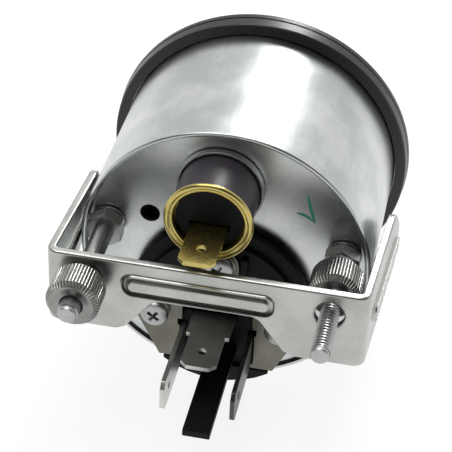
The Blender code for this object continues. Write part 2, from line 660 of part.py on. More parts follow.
def star(radius, depth, ridges):
    """Outline of a straight knurl: a point on each ridge and in each groove."""
    points = []
    for index in range(2 * ridges):
        angle = math.pi * index / ridges
        reach = radius if index % 2 == 0 else radius - depth
        points.append((reach * math.cos(angle), reach * math.sin(angle)))
    return points


def prism_nut(name, outline, section, x, z, front, rear):
    """Trim a prism to a turned section, as a nut is chamfered and bored."""
    body = outline_mesh(name, outline, rear - front + 2 * OVERCUT)
    facing_y(body, front - OVERCUT, rear + OVERCUT)
    nut = add_part(name, body, "zinc_bright", (x, 0.0, z))
    combine(nut, turned_cutter(section, x, z, MEDIUM, closed=True), "INTERSECT")
    return nut


def hex_nut(name, x, front):
    """Hexagon nut on a stud."""
    corner = NUT_FLATS / math.sqrt(3)
    rear = front + NUT_THICKNESS
    outline = arc(0.0, 0.0, corner, 30, 330, 5)
    bore = STUD_RADIUS + FIT
    section = [(corner - NUT_CHAMFER, rear), (corner, rear - NUT_CHAMFER), (corner, front + NUT_CHAMFER),
               (corner - NUT_CHAMFER, front), (bore, front), (bore, rear)]
    prism_nut(name, outline, section, x, STUD_Z, front, rear)


def thumb_nut(name, x, front):
    """Knurled thumb nut with a plain collar at its clamping end."""
    collar = front + THUMB_COLLAR_LENGTH
    rear = collar + THUMB_KNURL_LENGTH
    bore = STUD_RADIUS + FIT
    section = [(THUMB_RADIUS - THUMB_CHAMFER, rear), (THUMB_RADIUS, rear - THUMB_CHAMFER),
               (THUMB_RADIUS, collar + THUMB_CHAMFER / 2), (THUMB_RADIUS - THUMB_CHAMFER / 2, collar),
               (THUMB_COLLAR_RADIUS, collar), (THUMB_COLLAR_RADIUS, front), (bore, front), (bore, rear)]
    knurl = star(THUMB_RADIUS, KNURL_DEPTH, KNURL_RIDGES)
    return prism_nut(name, knurl, section, x, STUD_Z, front, rear)


def washer(name, x, front):
    """Plain washer on a stud."""
    ring = ring_points(STUD_RADIUS + FIT, WASHER_RADIUS, front, front + WASHER_THICKNESS)
    return turned(name, ring, "zinc_bright", x, STUD_Z, SMALL, closed=True)


def build_studs():
    """Two studs through the rear plate with their fixed nuts and washers."""
    head_rear = PLATE_INNER_Y - GAP
    head_front = head_rear - STUD_HEAD_THICKNESS
    points = [(0.0, STUD_TIP_Y), (STUD_RADIUS - STUD_CHAMFER, STUD_TIP_Y),
              (STUD_RADIUS, STUD_TIP_Y - STUD_CHAMFER), (STUD_RADIUS, head_rear),
              (STUD_HEAD_RADIUS, head_rear), (STUD_HEAD_RADIUS, head_front), (0.0, head_front)]
    for side, word in ((1, "left"), (-1, "right")):
        x = side * STUD_HALF_SPACING
        turned("stud_" + word, points, "zinc_bright", x, STUD_Z, SMALL)
        washer("stud_washer_" + word, x, WASHER_Y)
        hex_nut("stud_nut_" + word, x, NUT_Y)


def bracket_plan():
    """Plan of the bent strip in (X, Y): outer line, then inner line back."""
    half = BRACKET_HALF_WIDTH
    inner = half - BRACKET_SHEET
    bend = BRACKET_BEND
    tight = bend - BRACKET_SHEET
    splay = RIGHT_LEG_SPLAY
    turn_y = BRACKET_Y - bend
    outer_line = [(half, LEG_FRONT_Y), (half, CASE_LENGTH),
                  *arc(half - bend, turn_y, bend, 0, 90, 5),
                  *arc(-half + bend, turn_y, bend, 90, 180, 5), (-half, LEG_FRONT_Y)]
    inner_line = [(-inner, LEG_FRONT_Y), *arc(-half + bend, turn_y, tight, 180, 90, 3),
                  *arc(half - bend, turn_y, tight, 90, 0, 3),
                  (inner, CASE_LENGTH), (inner, LEG_FRONT_Y)]
    return outer_line + inner_line


def set_legs(mesh):
    """Twist the left leg to lie along the round case, and splay the right leg."""
    shape = bmesh.new()
    shape.from_mesh(mesh)
    sides = [face for face in shape.faces if abs(face.normal.x) > 0.5]
    bmesh.ops.triangulate(shape, faces=sides)
    shape.to_mesh(mesh)
    shape.free()
    middle = BRACKET_TOP_Z - BRACKET_STRIP / 2
    slope = math.asin(middle / CASE_RADIUS)
    turn_y = BRACKET_Y - BRACKET_BEND
    for vertex in mesh.vertices:
        x, y, z = vertex.co
        if x > 0:
            share = min(max((turn_y - y) / (turn_y - CASE_LENGTH), 0.0), 1.0)
            plane = (CASE_RADIUS + GAP - z * math.sin(slope)) / math.cos(slope)
            vertex.co.x += share * (plane + BRACKET_SHEET - BRACKET_HALF_WIDTH)
        else:
            share = max((turn_y - y) / (turn_y - LEG_FRONT_Y), 0.0)
            vertex.co.x -= share * RIGHT_LEG_SPLAY
    return mesh


def leg_rib(side):
    """Long narrow bead pressed out of a leg."""
    radius = LEG_RIB_HALF_HEIGHT
    outline = [*arc(LEG_RIB_REAR_Y - radius, LEG_RIB_Z, radius, -90, 90, 6),
               (CASE_LENGTH, LEG_RIB_Z + radius),
               *arc(LEG_RIB_FRONT_Y + radius, LEG_RIB_Z, radius, 90, 270, 6),
               (CASE_LENGTH, LEG_RIB_Z - radius)]
    low = side * (BRACKET_HALF_WIDTH - BRACKET_SHEET / 2)
    high = side * (BRACKET_HALF_WIDTH + LEG_RIB_PROUD)
    bead = facing_x(outline_mesh("bead", outline, abs(high - low)), low, high)
    return set_legs(bead)


def notch_outline():
    """Rear view of the gap between the web's deep tabs."""
    low = TAB_BOTTOM_Z - BRACKET_SHEET
    lean = (TAB_INNER_X - TAB_ROOT_X) / (STRIP_BOTTOM_Z - TAB_BOTTOM_Z)
    half = TAB_INNER_X + lean * BRACKET_SHEET
    return [(TAB_ROOT_X, STRIP_BOTTOM_Z), (half, low), (-half, low),
            (-TAB_ROOT_X, STRIP_BOTTOM_Z)]


def stadium(low_u, high_u, centre_v, radius):
    """Outline of a bar with round ends."""
    return [*arc(high_u - radius, centre_v, radius, -90, 90, 8),
            *arc(low_u + radius, centre_v, radius, 90, 270, 8)]


def build_bracket():
    """Clamp bracket: bent strip, tabs, ribs and stud holes."""
    body = outline_mesh("clamp_bracket", bracket_plan(), BRACKET_TOP_Z - TAB_BOTTOM_Z)
    facing_z(body, TAB_BOTTOM_Z, BRACKET_TOP_Z)
    set_legs(body)
    bracket = add_part("clamp_bracket", body, "zinc")
    reach = 2 * BRACKET_SHEET
    far = BRACKET_HALF_WIDTH + RIGHT_LEG_SPLAY + reach
    front = WEB_INNER_Y - reach
    rear = BRACKET_Y + reach
    notch = outline_mesh("notch", notch_outline(), rear - front)
    combine(bracket, add_cutter(facing_y(notch, front, rear)))
    past_foot = LEG_FRONT_Y - BRACKET_SHEET
    corner = [(LEG_SLOPE_Y, BRACKET_TOP_Z + reach), (LEG_SLOPE_Y, BRACKET_TOP_Z),
              (past_foot, BRACKET_TOP_Z - LEG_SLOPE_DROP), (past_foot, BRACKET_TOP_Z + reach)]
    slope = outline_mesh("slope", corner, 2 * far)
    combine(bracket, add_cutter(facing_x(slope, -far, far)))
    half_sheet = BRACKET_SHEET / 2
    bar = stadium(WEB_RIB_RIGHT_X, WEB_RIB_LEFT_X, STUD_Z, WEB_RIB_HALF_HEIGHT)
    rib = outline_mesh("rib", bar, half_sheet + RIB_PROUD)
    facing_y(rib, BRACKET_Y - half_sheet, BRACKET_Y + RIB_PROUD)
    combine(bracket, add_cutter(rib), "UNION")
    for side in (1, -1):
        combine(bracket, add_cutter(leg_rib(side)), "UNION")
    bar = stadium(WEB_RIB_RIGHT_X + half_sheet, WEB_RIB_LEFT_X - half_sheet, STUD_Z,
                  WEB_RIB_HALF_HEIGHT - half_sheet)
    hollow = outline_mesh("hollow", bar, reach)
    facing_y(hollow, WEB_INNER_Y - reach + RIB_PROUD, WEB_INNER_Y + RIB_PROUD)
    combine(bracket, add_cutter(hollow))
    for side in (1, -1):
        x = side * STUD_HALF_SPACING
        cut_hole(bracket, BRACKET_HOLE_RADIUS, x, STUD_Z, front, rear)
    return bracket


def build_clamp():
    """Bracket with its thumb nut, and the loose thumb nut on the other stud."""
    bracket = build_bracket()
    left = thumb_nut("thumb_nut_left", STUD_HALF_SPACING, LEFT_THUMB_Y)
    carry(empty_at("bracket_slide", STUD_HALF_SPACING, STUD_Z), bracket, left)
    right_washer = washer("thumb_washer_right", -STUD_HALF_SPACING, RIGHT_WASHER_Y)
    right = thumb_nut("thumb_nut_right", -STUD_HALF_SPACING, RIGHT_THUMB_Y)
    carry(empty_at("right_nut_slide", -STUD_HALF_SPACING, STUD_Z), right_washer, right)


def build_lamp():
    """Lamp socket in the case and the holder that pushes into it."""
    inner = SOCKET_RADIUS - SOCKET_WALL
    flange_rear = PLATE_INNER_Y - GAP
    flange_front = flange_rear - SOCKET_FLANGE_THICKNESS
    turned("lamp_socket", [(SOCKET_RADIUS, SOCKET_END_Y), (SOCKET_RADIUS, flange_rear),
                           (SOCKET_FLANGE_RADIUS, flange_rear), (SOCKET_FLANGE_RADIUS, flange_front),
                           (inner, flange_front), (inner, SOCKET_END_Y)],
           "black_plastic", LAMP_X, LAMP_Z, closed=True)
    ferrule_inner = SOCKET_RADIUS + FIT
    ferrule_front = PLATE_Y + GAP
    ring = ring_points(ferrule_inner, ferrule_inner + FERRULE_WALL, ferrule_front,
                       ferrule_front + FERRULE_HEIGHT)
    turned("lamp_ferrule", ring, "zinc_bright", LAMP_X, LAMP_Z, closed=True)
    lip_rear = SHELL_LIP_Y + SHELL_LIP_THICKNESS
    lip_inner = SHELL_OUTER - SHELL_WALL
    middle = (lip_inner + SHELL_LIP_RADIUS) / 2
    edge = SHELL_LIP_GROOVE
    sleeve_inner = SHELL_SLEEVE_RADIUS - SHELL_WALL
    sleeve_front = SHELL_SHOULDER_Y - SHELL_SLEEVE_LENGTH
    section = [(middle - edge, lip_rear), (middle, lip_rear - edge), (middle + edge, lip_rear),
               (SHELL_LIP_RADIUS - edge, lip_rear), (SHELL_LIP_RADIUS, lip_rear - edge),
               (SHELL_LIP_RADIUS, SHELL_LIP_Y), (SHELL_OUTER, SHELL_LIP_Y),
               (SHELL_OUTER, SHELL_SHOULDER_Y - SHELL_WALL),
               (SHELL_SLEEVE_RADIUS, SHELL_SHOULDER_Y - SHELL_WALL),
               (SHELL_SLEEVE_RADIUS, sleeve_front), (sleeve_inner, sleeve_front),
               (sleeve_inner, SHELL_SHOULDER_Y), (lip_inner, SHELL_SHOULDER_Y),
               (lip_inner, lip_rear - edge), (lip_inner + edge, lip_rear)]
    shell = turned("lamp_shell", section, "brass", LAMP_X, LAMP_Z, closed=True)
    tab_z = LAMP_Z - LAMP_TAB_DROP
    half = LAMP_TAB_THICKNESS / 2 + FIT
    half_width = LAMP_TAB_WIDTH / 2 + FIT
    disc = rod_points(lip_inner - FIT, INSULATOR_Y, INSULATOR_REAR_Y)
    insulator = turned("lamp_insulator", disc, "black_plastic", LAMP_X, LAMP_Z)
    cut_box(insulator, (LAMP_X - half_width, INSULATOR_Y - GAP, tab_z - half),
            (LAMP_X + half_width, INSULATOR_REAR_Y + GAP, tab_z + half))
    tab = flat_tab("lamp_tab", LAMP_X, tab_z, LAMP_TAB_WIDTH, LAMP_TAB_WIDTH, LAMP_TAB_THICKNESS,
                   INSULATOR_Y - GAP, INSULATOR_REAR_Y, INSULATOR_REAR_Y + LAMP_TAB_REACH, "brass")
    cap_rear = INSULATOR_Y - 2 * GAP - SPRING_LENGTH
    cap_front = cap_rear - BULB_CAP_LENGTH
    dome = arc(0.0, cap_front - BULB_GLASS_LENGTH + BULB_RADIUS, BULB_RADIUS, 0, -90, 8)
    section = [(0.0, cap_rear), (BULB_CAP_RADIUS, cap_rear), (BULB_CAP_RADIUS, cap_front),
               (BULB_RADIUS, cap_front - GAP), *dome[:-1], (0.0, dome[-1][1])]
    bulb = turned("lamp_bulb", section, "glass", LAMP_X, LAMP_Z)
    spring = contact_spring(cap_rear + GAP + SPRING_WIRE, INSULATOR_Y - 2 * GAP - SPRING_WIRE)
    carry(empty_at("lamp_slide", LAMP_X, LAMP_Z), shell, insulator, tab, bulb, spring)


def contact_spring(front, rear):
    """Small coil spring that presses the bulb's contact."""
    curve = bpy.data.curves.new("lamp_spring", "CURVE")
    curve.dimensions = "3D"
    curve.bevel_depth = SPRING_WIRE
    curve.bevel_resolution = 1
    curve.use_fill_caps = True
    per_turn = 14
    count = SPRING_TURNS * per_turn + 1
    spline = curve.splines.new("POLY")
    spline.points.add(count - 1)
    for index, point in enumerate(spline.points):
        share = index / (count - 1)
        angle = 2 * math.pi * SPRING_TURNS * share
        point.co = (SPRING_RADIUS * math.cos(angle), front + (rear - front) * share,
                    SPRING_RADIUS * math.sin(angle), 1.0)
    made = bpy.data.objects.new("lamp_spring", curve)
    made.location = (LAMP_X, 0.0, LAMP_Z)
    curve.materials.append(new_material("lamp_spring", "steel"))
    parts.objects.link(made)
    return made


def flat_tab(name, x, z, wide, narrow, thickness, inner, shoulder, tip, finish):
    """Flat blade along Y lying in XY: shoulders, bevelled tip corners and a hole."""
    chamfer = TAB_TIP_CHAMFER
    outline = [(x - wide / 2, inner), (x + wide / 2, inner)]
    if wide > narrow:
        outline += [(x + wide / 2, shoulder), (x + narrow / 2, shoulder)]
    outline += [(x + narrow / 2, tip - chamfer), (x + narrow / 2 - chamfer, tip),
                (x - narrow / 2 + chamfer, tip), (x - narrow / 2, tip - chamfer)]
    if wide > narrow:
        outline += [(x - narrow / 2, shoulder), (x - wide / 2, shoulder)]
    blade = facing_z(outline_mesh(name, outline, thickness), z - thickness / 2, z + thickness / 2)
    tab = add_part(name, blade, finish)
    drill = bpy.data.meshes.new("drill")
    shape = bmesh.new()
    bmesh.ops.create_cone(shape, cap_ends=True, segments=16, radius1=TAB_HOLE_RADIUS,
                          radius2=TAB_HOLE_RADIUS, depth=4 * thickness)
    shape.to_mesh(drill)
    shape.free()
    combine(tab, add_cutter(drill, (x, tip - TAB_HOLE_FROM_TIP, z)))
    return tab


def terminal_plate_outline():
    """Shield-shaped plate: tongue at the top, ears at the lower screws, straight foot."""
    left = arc(SCREW_X, SCREW_Z, PLATE_EAR_RADIUS, -30, 60, 6)
    right = [(-x, z) for x, z in reversed(left)]
    shoulder_z = BASE_Z + PLATE_SHOULDER_RISE
    top = [(TOP_SCREW_X + PLATE_TONGUE_RADIUS, shoulder_z),
           *arc(TOP_SCREW_X, TOP_SCREW_Z, PLATE_TONGUE_RADIUS, 0, 180, 8),
           (TOP_SCREW_X - PLATE_TONGUE_RADIUS, shoulder_z)]
    foot_x = SCREW_X - PLATE_FOOT_INSET
    foot_z = BASE_Z - TERMINAL_PLATE_DROP
    return [(foot_x, foot_z), *left, *top, *right, (-foot_x, foot_z)]


def ledge_outline():
    """Ledge of the base under the plate's foot, in (X, Z)."""
    half = BASE_LOBE_HALF_WIDTH
    radius = BASE_RADIUS - GAP
    corner = math.degrees(math.acos(half / radius))
    top = BASE_Z - TERMINAL_PLATE_DROP - GAP
    return [(half, top), (-half, top), *arc(0.0, BASE_Z, radius, corner - 180, -corner, 8)]


def build_terminals():
    """Black terminal base with its key bar, cover plate, three tabs and screws."""
    seat = PLATE_Y + GAP
    seat_radius = BASE_RADIUS + BASE_MARGIN - 2 * RIM_BEAD
    base = turned("terminal_base", [(0.0, BASE_FACE_Y), (BASE_BOSS_RADIUS, BASE_FACE_Y),
                                    (BASE_BOSS_RADIUS, BASE_BOSS_Y), (BASE_RADIUS, BASE_BOSS_Y),
                                    (BASE_RADIUS, BASE_FLANGE_Y), (seat_radius, BASE_FLANGE_Y),
                                    (seat_radius, seat), (0.0, seat)],
                  "black_plastic", 0.0, BASE_Z, 56)
    low = (KEY_X - KEY_WIDTH / 2, BASE_FACE_Y - BASE_BOSS, KEY_Z - KEY_THICKNESS / 2)
    high = (KEY_X + KEY_WIDTH / 2, CASE_LENGTH + KEY_REACH, KEY_Z + KEY_THICKNESS / 2)
    combine(base, add_cutter(box_mesh(low, high)), "UNION")
    plate_rear = TERMINAL_PLATE_Y + TERMINAL_PLATE_THICKNESS
    ledge_front = BASE_FLANGE_Y + BASE_FLANGE / 2
    ledge = outline_mesh("ledge", ledge_outline(), plate_rear - ledge_front)
    combine(base, add_cutter(facing_y(ledge, ledge_front, plate_rear)), "UNION")
    inside = PLATE_INNER_Y - TAB_INSIDE
    half = TAB_THICKNESS / 2 + FIT
    past_front = seat - GAP
    past_rear = BASE_FACE_Y + GAP
    wide = CENTRE_TAB_WIDE / 2 + FIT
    cut_box(base, (CENTRE_TAB_X - wide, past_front, CENTRE_TAB_Z - half),
            (CENTRE_TAB_X + wide, past_rear, CENTRE_TAB_Z + half))
    beyond = BASE_RADIUS + OVERCUT
    for side in (1, -1):
        near, far = sorted((side * BASE_LOBE_HALF_WIDTH, side * beyond))
        cut_box(base, (near, past_front, BASE_Z - beyond),
                (far, past_rear, SCREW_Z - BASE_EAR_DROP))
        x = side * SIDE_TAB_X
        cut_box(base, (x - half, past_front, SIDE_TAB_Z - TAB_WIDTH / 2 - FIT),
                (x + half, past_rear, SIDE_TAB_Z + TAB_WIDTH / 2 + FIT))
    for x, z in SCREW_PLACES:
        cut_hole(base, SCREW_RADIUS + FIT, x, z, past_front, past_rear)
    cut_hole(base, SOCKET_RADIUS + FIT + FERRULE_WALL + GAP, LAMP_X, LAMP_Z, past_front, past_rear, MEDIUM)
    sheet = outline_mesh("terminal_plate", terminal_plate_outline(), TERMINAL_PLATE_THICKNESS)
    plate = add_part("terminal_plate", facing_y(sheet, TERMINAL_PLATE_Y, plate_rear), "zinc")
    cut_box(plate, (-PLUG_WINDOW_HALF_WIDTH, BASE_FACE_Y, BASE_Z - TERMINAL_PLATE_DROP - OVERCUT),
            (PLUG_WINDOW_HALF_WIDTH, plate_rear + GAP, BASE_Z + PLUG_WINDOW_RISE))
    for side in (1, -1):
        cut_box(plate, (side * SIDE_TAB_X - half, BASE_FACE_Y, SIDE_TAB_Z - TAB_WIDTH / 2 - FIT),
                (side * SIDE_TAB_X + half, plate_rear + GAP, SIDE_TAB_Z + TAB_WIDTH / 2 + FIT))
        edge = side * PLUG_WINDOW_HALF_WIDTH
        notch_z = SIDE_TAB_Z + TAB_WIDTH / 2
        cut_box(plate, (edge - PLATE_NOTCH_DEPTH, BASE_FACE_Y, notch_z),
                (edge + PLATE_NOTCH_DEPTH, plate_rear + GAP, notch_z + PLATE_NOTCH_HEIGHT))
    for x, z in SCREW_PLACES:
        cut_hole(plate, SCREW_RADIUS + FIT, x, z, BASE_FACE_Y, plate_rear + GAP)
    flat_tab("tab_centre", CENTRE_TAB_X, CENTRE_TAB_Z, CENTRE_TAB_WIDE, TAB_WIDTH, TAB_THICKNESS, inside,
             CASE_LENGTH + CENTRE_TAB_SHOULDER, CASE_LENGTH + CENTRE_TAB_REACH, "zinc")
    for side, word in ((1, "left"), (-1, "right")):
        x = side * SIDE_TAB_X
        tab = flat_tab("tab_" + word, 0.0, 0.0, TAB_WIDTH, TAB_WIDTH, TAB_THICKNESS, inside, inside,
                       CASE_LENGTH + SIDE_TAB_REACH, "zinc")
        stand_tab_up(tab, x)
    for word, (x, z) in zip(("left", "right", "top"), SCREW_PLACES):
        pan_screw("terminal_screw_" + word, x, z)


def stand_tab_up(tab, x):
    """Turn a flat tab and its drill on edge, at a place to one side."""
    tab.rotation_euler = (0.0, math.pi / 2, 0.0)
    tab.location = (x, 0.0, SIDE_TAB_Z)
    for modifier in tab.modifiers:
        if modifier.type == "BOOLEAN":
            modifier.object.rotation_euler = (0.0, math.pi / 2, 0.0)
            modifier.object.location = (x, modifier.object.location.y, SIDE_TAB_Z)


def pan_screw(name, x, z):
    """Cross-recess pan head screw into a pillar."""
    rear = SCREW_HEAD_Y + SCREW_HEAD_HEIGHT
    soft = SCREW_HEAD_HEIGHT / 2
    head = arc(SCREW_HEAD_RADIUS - soft, SCREW_HEAD_Y + soft, soft, 90, 0, 4)
    end = SCREW_HEAD_Y - SCREW_LENGTH
    section = [(0.0, rear), *head, (SCREW_HEAD_RADIUS, SCREW_HEAD_Y), (SCREW_RADIUS, SCREW_HEAD_Y),
               (SCREW_RADIUS, end), (0.0, end)]
    made = turned(name, section, "zinc_bright", x, z, SMALL)
    long_half = SCREW_CROSS_LENGTH / 2
    slot_half = SCREW_CROSS_WIDTH / 2
    deep = rear - SCREW_CROSS_DEPTH
    cut_box(made, (x - long_half, deep, z - slot_half), (x + long_half, rear + GAP, z + slot_half))
    cut_box(made, (x - slot_half, deep, z - long_half), (x + slot_half, rear + GAP, z + long_half))


clear_scene()
parts = new_collection(COLLECTION_NAME)
cutters = new_collection("cutters")
build_case()
build_bezel()
build_front()
build_pointer()
build_movement()
build_studs()
build_clamp()
build_lamp()
build_terminals()
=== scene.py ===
import json
import math

import bmesh
import bpy
from mathutils import Matrix, Vector


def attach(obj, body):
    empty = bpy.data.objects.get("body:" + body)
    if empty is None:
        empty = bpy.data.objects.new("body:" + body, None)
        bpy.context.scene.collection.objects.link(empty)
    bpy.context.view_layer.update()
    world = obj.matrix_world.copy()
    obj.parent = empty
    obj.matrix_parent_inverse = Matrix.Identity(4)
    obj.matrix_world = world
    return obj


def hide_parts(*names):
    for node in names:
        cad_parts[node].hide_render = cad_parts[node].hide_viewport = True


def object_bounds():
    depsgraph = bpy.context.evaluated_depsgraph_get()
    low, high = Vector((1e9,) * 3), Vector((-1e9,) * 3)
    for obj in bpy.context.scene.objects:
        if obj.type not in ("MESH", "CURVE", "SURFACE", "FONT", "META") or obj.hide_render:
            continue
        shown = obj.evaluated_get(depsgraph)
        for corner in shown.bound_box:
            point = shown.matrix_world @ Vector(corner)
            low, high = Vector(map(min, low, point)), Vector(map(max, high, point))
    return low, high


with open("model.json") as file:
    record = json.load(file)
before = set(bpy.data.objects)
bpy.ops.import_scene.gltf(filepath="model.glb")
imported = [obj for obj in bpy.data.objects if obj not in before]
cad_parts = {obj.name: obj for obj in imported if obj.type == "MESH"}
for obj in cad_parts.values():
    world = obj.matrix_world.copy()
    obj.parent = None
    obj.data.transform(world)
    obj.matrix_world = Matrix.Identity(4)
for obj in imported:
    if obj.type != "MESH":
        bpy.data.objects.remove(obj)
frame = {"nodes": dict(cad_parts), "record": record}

cad_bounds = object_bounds()

# Places and sizes of the gauge, in metres, as in its solids
PLATE_Y = 0.0329                # rear plate
RIM_Y = 0.0337                  # crest of the bead around it
CASE_RADIUS = 0.0260
STUD_X = 0.021004
STUD_Z = 0.0042009
STUD_RADIUS = 0.00165
THREAD_PITCH = 0.0007
LAMP = (0.0011, 0.0150)         # X and Z of the lamp holder's axis
SCREW_Z = -0.0110               # axes of the two lower terminal screws
SCREW_X = 0.0113
TOP_SCREW = (-0.0001, 0.0012)   # X and Z of the upper one
HEAD_SEAT_Y = 0.0373            # what the screw heads bear on
BRACKET_Y = 0.0502              # outer face of the bracket's web
BRACKET_TOP = STUD_Z + 0.0046
SHEET = 0.0015                  # bracket's thickness
BEND = 0.0021                   # outer radius of its bends
HALF_WIDTH = 0.0276             # from its middle to the outer face of a leg
LEG_FRONT = 0.0187
STRIP_FOOT = 0.0012             # lower edge of the web between its tabs
TAB_FOOT = -0.0058              # lower edge of the tabs and legs
TAB_SIDE = 0.0145               # from its middle to a tab's lower inner corner
STRIP_END = 0.0086              # half of the web's lower edge between the tabs
NOTCH_END = (0.0155468, -0.00705)   # X and Z below the tabs, on the line of their inner edges
SLOPE_START_Y = 0.0247          # where the slope leaves a leg's upper edge
SLOPE_END = (0.0172, 0.0010)    # Y and Z before the legs, on the line of the slope
SLOPE_FOOT_Z = 0.00256          # height at which the slope meets a leg's front edge
SPREAD = 0.00175                # of the right leg, at its front edge
LEG_RIB_PLACE = (0.03275, 0.0005)   # Y and Z of its middle
POINTER_REST = 40.0             # degrees left of twelve o'clock


def take(piece):
    """Select one piece alone and make it the active one."""
    bpy.ops.object.select_all(action="DESELECT")
    piece.select_set(True)
    bpy.context.view_layer.objects.active = piece
    return piece


def settle(piece):
    """Put a piece's place, turn and size into its mesh."""
    take(piece)
    bpy.ops.object.transform_apply(location=True, rotation=True, scale=True)
    return piece


def modify(piece, kind, **settings):
    """Add a modifier, set it and apply it."""
    take(piece)
    modifier = piece.modifiers.new(kind.lower(), kind)
    for name, value in settings.items():
        setattr(modifier, name, value)
    bpy.ops.object.modifier_apply(modifier=modifier.name)
    return piece


def pick(piece, kind, test):
    """In edit mode, select only the vertices, edges or faces whose centre passes a test."""
    bpy.ops.mesh.select_all(action="DESELECT")
    shape = bmesh.from_edit_mesh(piece.data)
    for element in getattr(shape, kind):
        corners = [element.co] if kind == "verts" else [corner.co for corner in element.verts]
        if test(sum(corners, Vector()) / len(corners)):
            element.select_set(True)
    shape.select_flush_mode()
    bmesh.update_edit_mesh(piece.data)


def keep_picked(piece, test):
    """In edit mode, leave selected only the edges whose centre passes a test."""
    shape = bmesh.from_edit_mesh(piece.data)
    for edge in [edge for edge in shape.edges if edge.select]:
        if not test((edge.verts[0].co + edge.verts[1].co) / 2):
            edge.select_set(False)
    shape.select_flush(False)
    bmesh.update_edit_mesh(piece.data)


def round_edges(piece, width, segments, test, sharp=40.0):
    """Bevel the sharp edges whose centre passes a test."""
    take(piece)
    bpy.ops.object.mode_set(mode="EDIT")
    bpy.ops.mesh.select_mode(type="EDGE")
    bpy.ops.mesh.select_all(action="DESELECT")
    bpy.ops.mesh.edges_select_sharp(sharpness=math.radians(sharp))
    keep_picked(piece, test)
    bpy.ops.mesh.bevel(offset=width, segments=segments, affect="EDGES", clamp_overlap=False)
    bpy.ops.mesh.select_mode(type="VERT")
    bpy.ops.object.mode_set(mode="OBJECT")
    return piece


def weld(piece, tool):
    """Add a tool's space to a piece."""
    settle(tool)
    modify(piece, "BOOLEAN", operation="UNION", solver="EXACT", object=tool)
    bpy.data.objects.remove(tool, do_unlink=True)
    return piece


def cut(piece, *tools):
    """Take the space of each tool out of a piece."""
    for tool in tools:
        settle(tool)
        modify(piece, "BOOLEAN", operation="DIFFERENCE", solver="EXACT", object=tool)
        bpy.data.objects.remove(tool, do_unlink=True)
    return piece


def trim(piece, tool):
    """Keep only what lies inside a tool."""
    settle(tool)
    modify(piece, "BOOLEAN", operation="INTERSECT", solver="EXACT", object=tool)
    bpy.data.objects.remove(tool, do_unlink=True)
    return piece


def soften(piece, width=0.0, segments=2, angle=32.0):
    """Round the sharp edges of a piece and shade it smooth between them."""
    if width:
        modify(piece, "BEVEL", width=width, segments=segments, limit_method="ANGLE",
               angle_limit=math.radians(angle), use_clamp_overlap=True)
    take(piece)
    bpy.ops.object.shade_smooth_by_angle(angle=math.radians(angle))
    modify(piece, "WEIGHTED_NORMAL", keep_sharp=True)
    return piece


def drum(name, radius, front, rear, x=0.0, z=0.0, facets=64):
    """Plain cylinder along Y, to be cut or to cut with."""
    bpy.ops.object.select_all(action="DESELECT")
    bpy.ops.mesh.primitive_cylinder_add(vertices=facets, radius=radius, depth=rear - front,
                                        location=(x, (front + rear) / 2, z),
                                        rotation=(math.pi / 2, 0.0, 0.0))
    piece = bpy.context.object
    piece.name = name
    return settle(piece)


def block(name, low, high):
    """Plain box between two corners, to be cut or to cut with."""
    bpy.ops.object.select_all(action="DESELECT")
    middle = [(a + b) / 2 for a, b in zip(low, high)]
    bpy.ops.mesh.primitive_cube_add(size=1.0, location=middle)
    piece = bpy.context.object
    piece.name = name
    piece.scale = [b - a for a, b in zip(low, high)]
    return settle(piece)


def lathe(name, section, facets=96, x=0.0, z=0.0, ring=False):
    """Turn a section of (radius, y) points about Y, by extruding and scaling a circle."""
    radius, y = section[0]
    bpy.ops.object.select_all(action="DESELECT")
    bpy.ops.mesh.primitive_circle_add(vertices=facets, radius=radius, location=(x, y, z),
                                      fill_type="NOTHING" if ring else "NGON",
                                      rotation=(math.pi / 2, 0.0, 0.0))
    piece = bpy.context.object
    piece.name = name
    bpy.ops.object.mode_set(mode="EDIT")
    bpy.ops.mesh.select_all(action="SELECT")
    steps = section[1:] + (section[:1] if ring else [])
    for next_radius, next_y in steps:
        move = {"value": (0.0, next_y - y, 0.0)}
        bpy.ops.mesh.extrude_region_move(TRANSFORM_OT_translate=move)
        share = next_radius / radius
        bpy.ops.transform.resize(value=(share, 1.0, share), center_override=(x, next_y, z))
        radius, y = next_radius, next_y
    bpy.ops.mesh.select_all(action="SELECT")
    bpy.ops.mesh.remove_doubles(threshold=0.000002)
    if not ring:
        bpy.ops.mesh.select_all(action="DESELECT")
        bpy.ops.mesh.select_non_manifold()
        bpy.ops.mesh.edge_face_add()
        bpy.ops.mesh.select_all(action="SELECT")
    bpy.ops.mesh.normals_make_consistent(inside=False)
    bpy.ops.object.mode_set(mode="OBJECT")
    return settle(piece)


def prism(name, outline, depth):
    """Draw a closed outline point by point, fill it and extrude it into a solid."""
    bpy.ops.object.select_all(action="DESELECT")
    bpy.ops.mesh.primitive_plane_add(size=0.0001, location=outline[0])
    piece = bpy.context.object
    piece.name = name
    bpy.ops.object.mode_set(mode="EDIT")
    bpy.ops.mesh.select_all(action="SELECT")
    bpy.ops.mesh.merge(type="CENTER")
    for start, end in zip(outline, outline[1:]):
        move = tuple(b - a for a, b in zip(start, end))
        bpy.ops.mesh.extrude_vertices_move(TRANSFORM_OT_translate={"value": move})
    bpy.ops.mesh.select_all(action="SELECT")
    bpy.ops.mesh.edge_face_add()
    bpy.ops.mesh.extrude_region_move(TRANSFORM_OT_translate={"value": depth})
    bpy.ops.mesh.select_all(action="SELECT")
    bpy.ops.mesh.normals_make_consistent(inside=False)
    bpy.ops.object.mode_set(mode="OBJECT")
    return settle(piece)


def fuse(name, *pieces):
    """Join pieces into one object."""
    bpy.ops.object.select_all(action="DESELECT")
    for piece in pieces:
        piece.select_set(True)
    bpy.context.view_layer.objects.active = pieces[0]
    if len(pieces) > 1:
        bpy.ops.object.join()
    pieces[0].name = name
    return pieces[0]


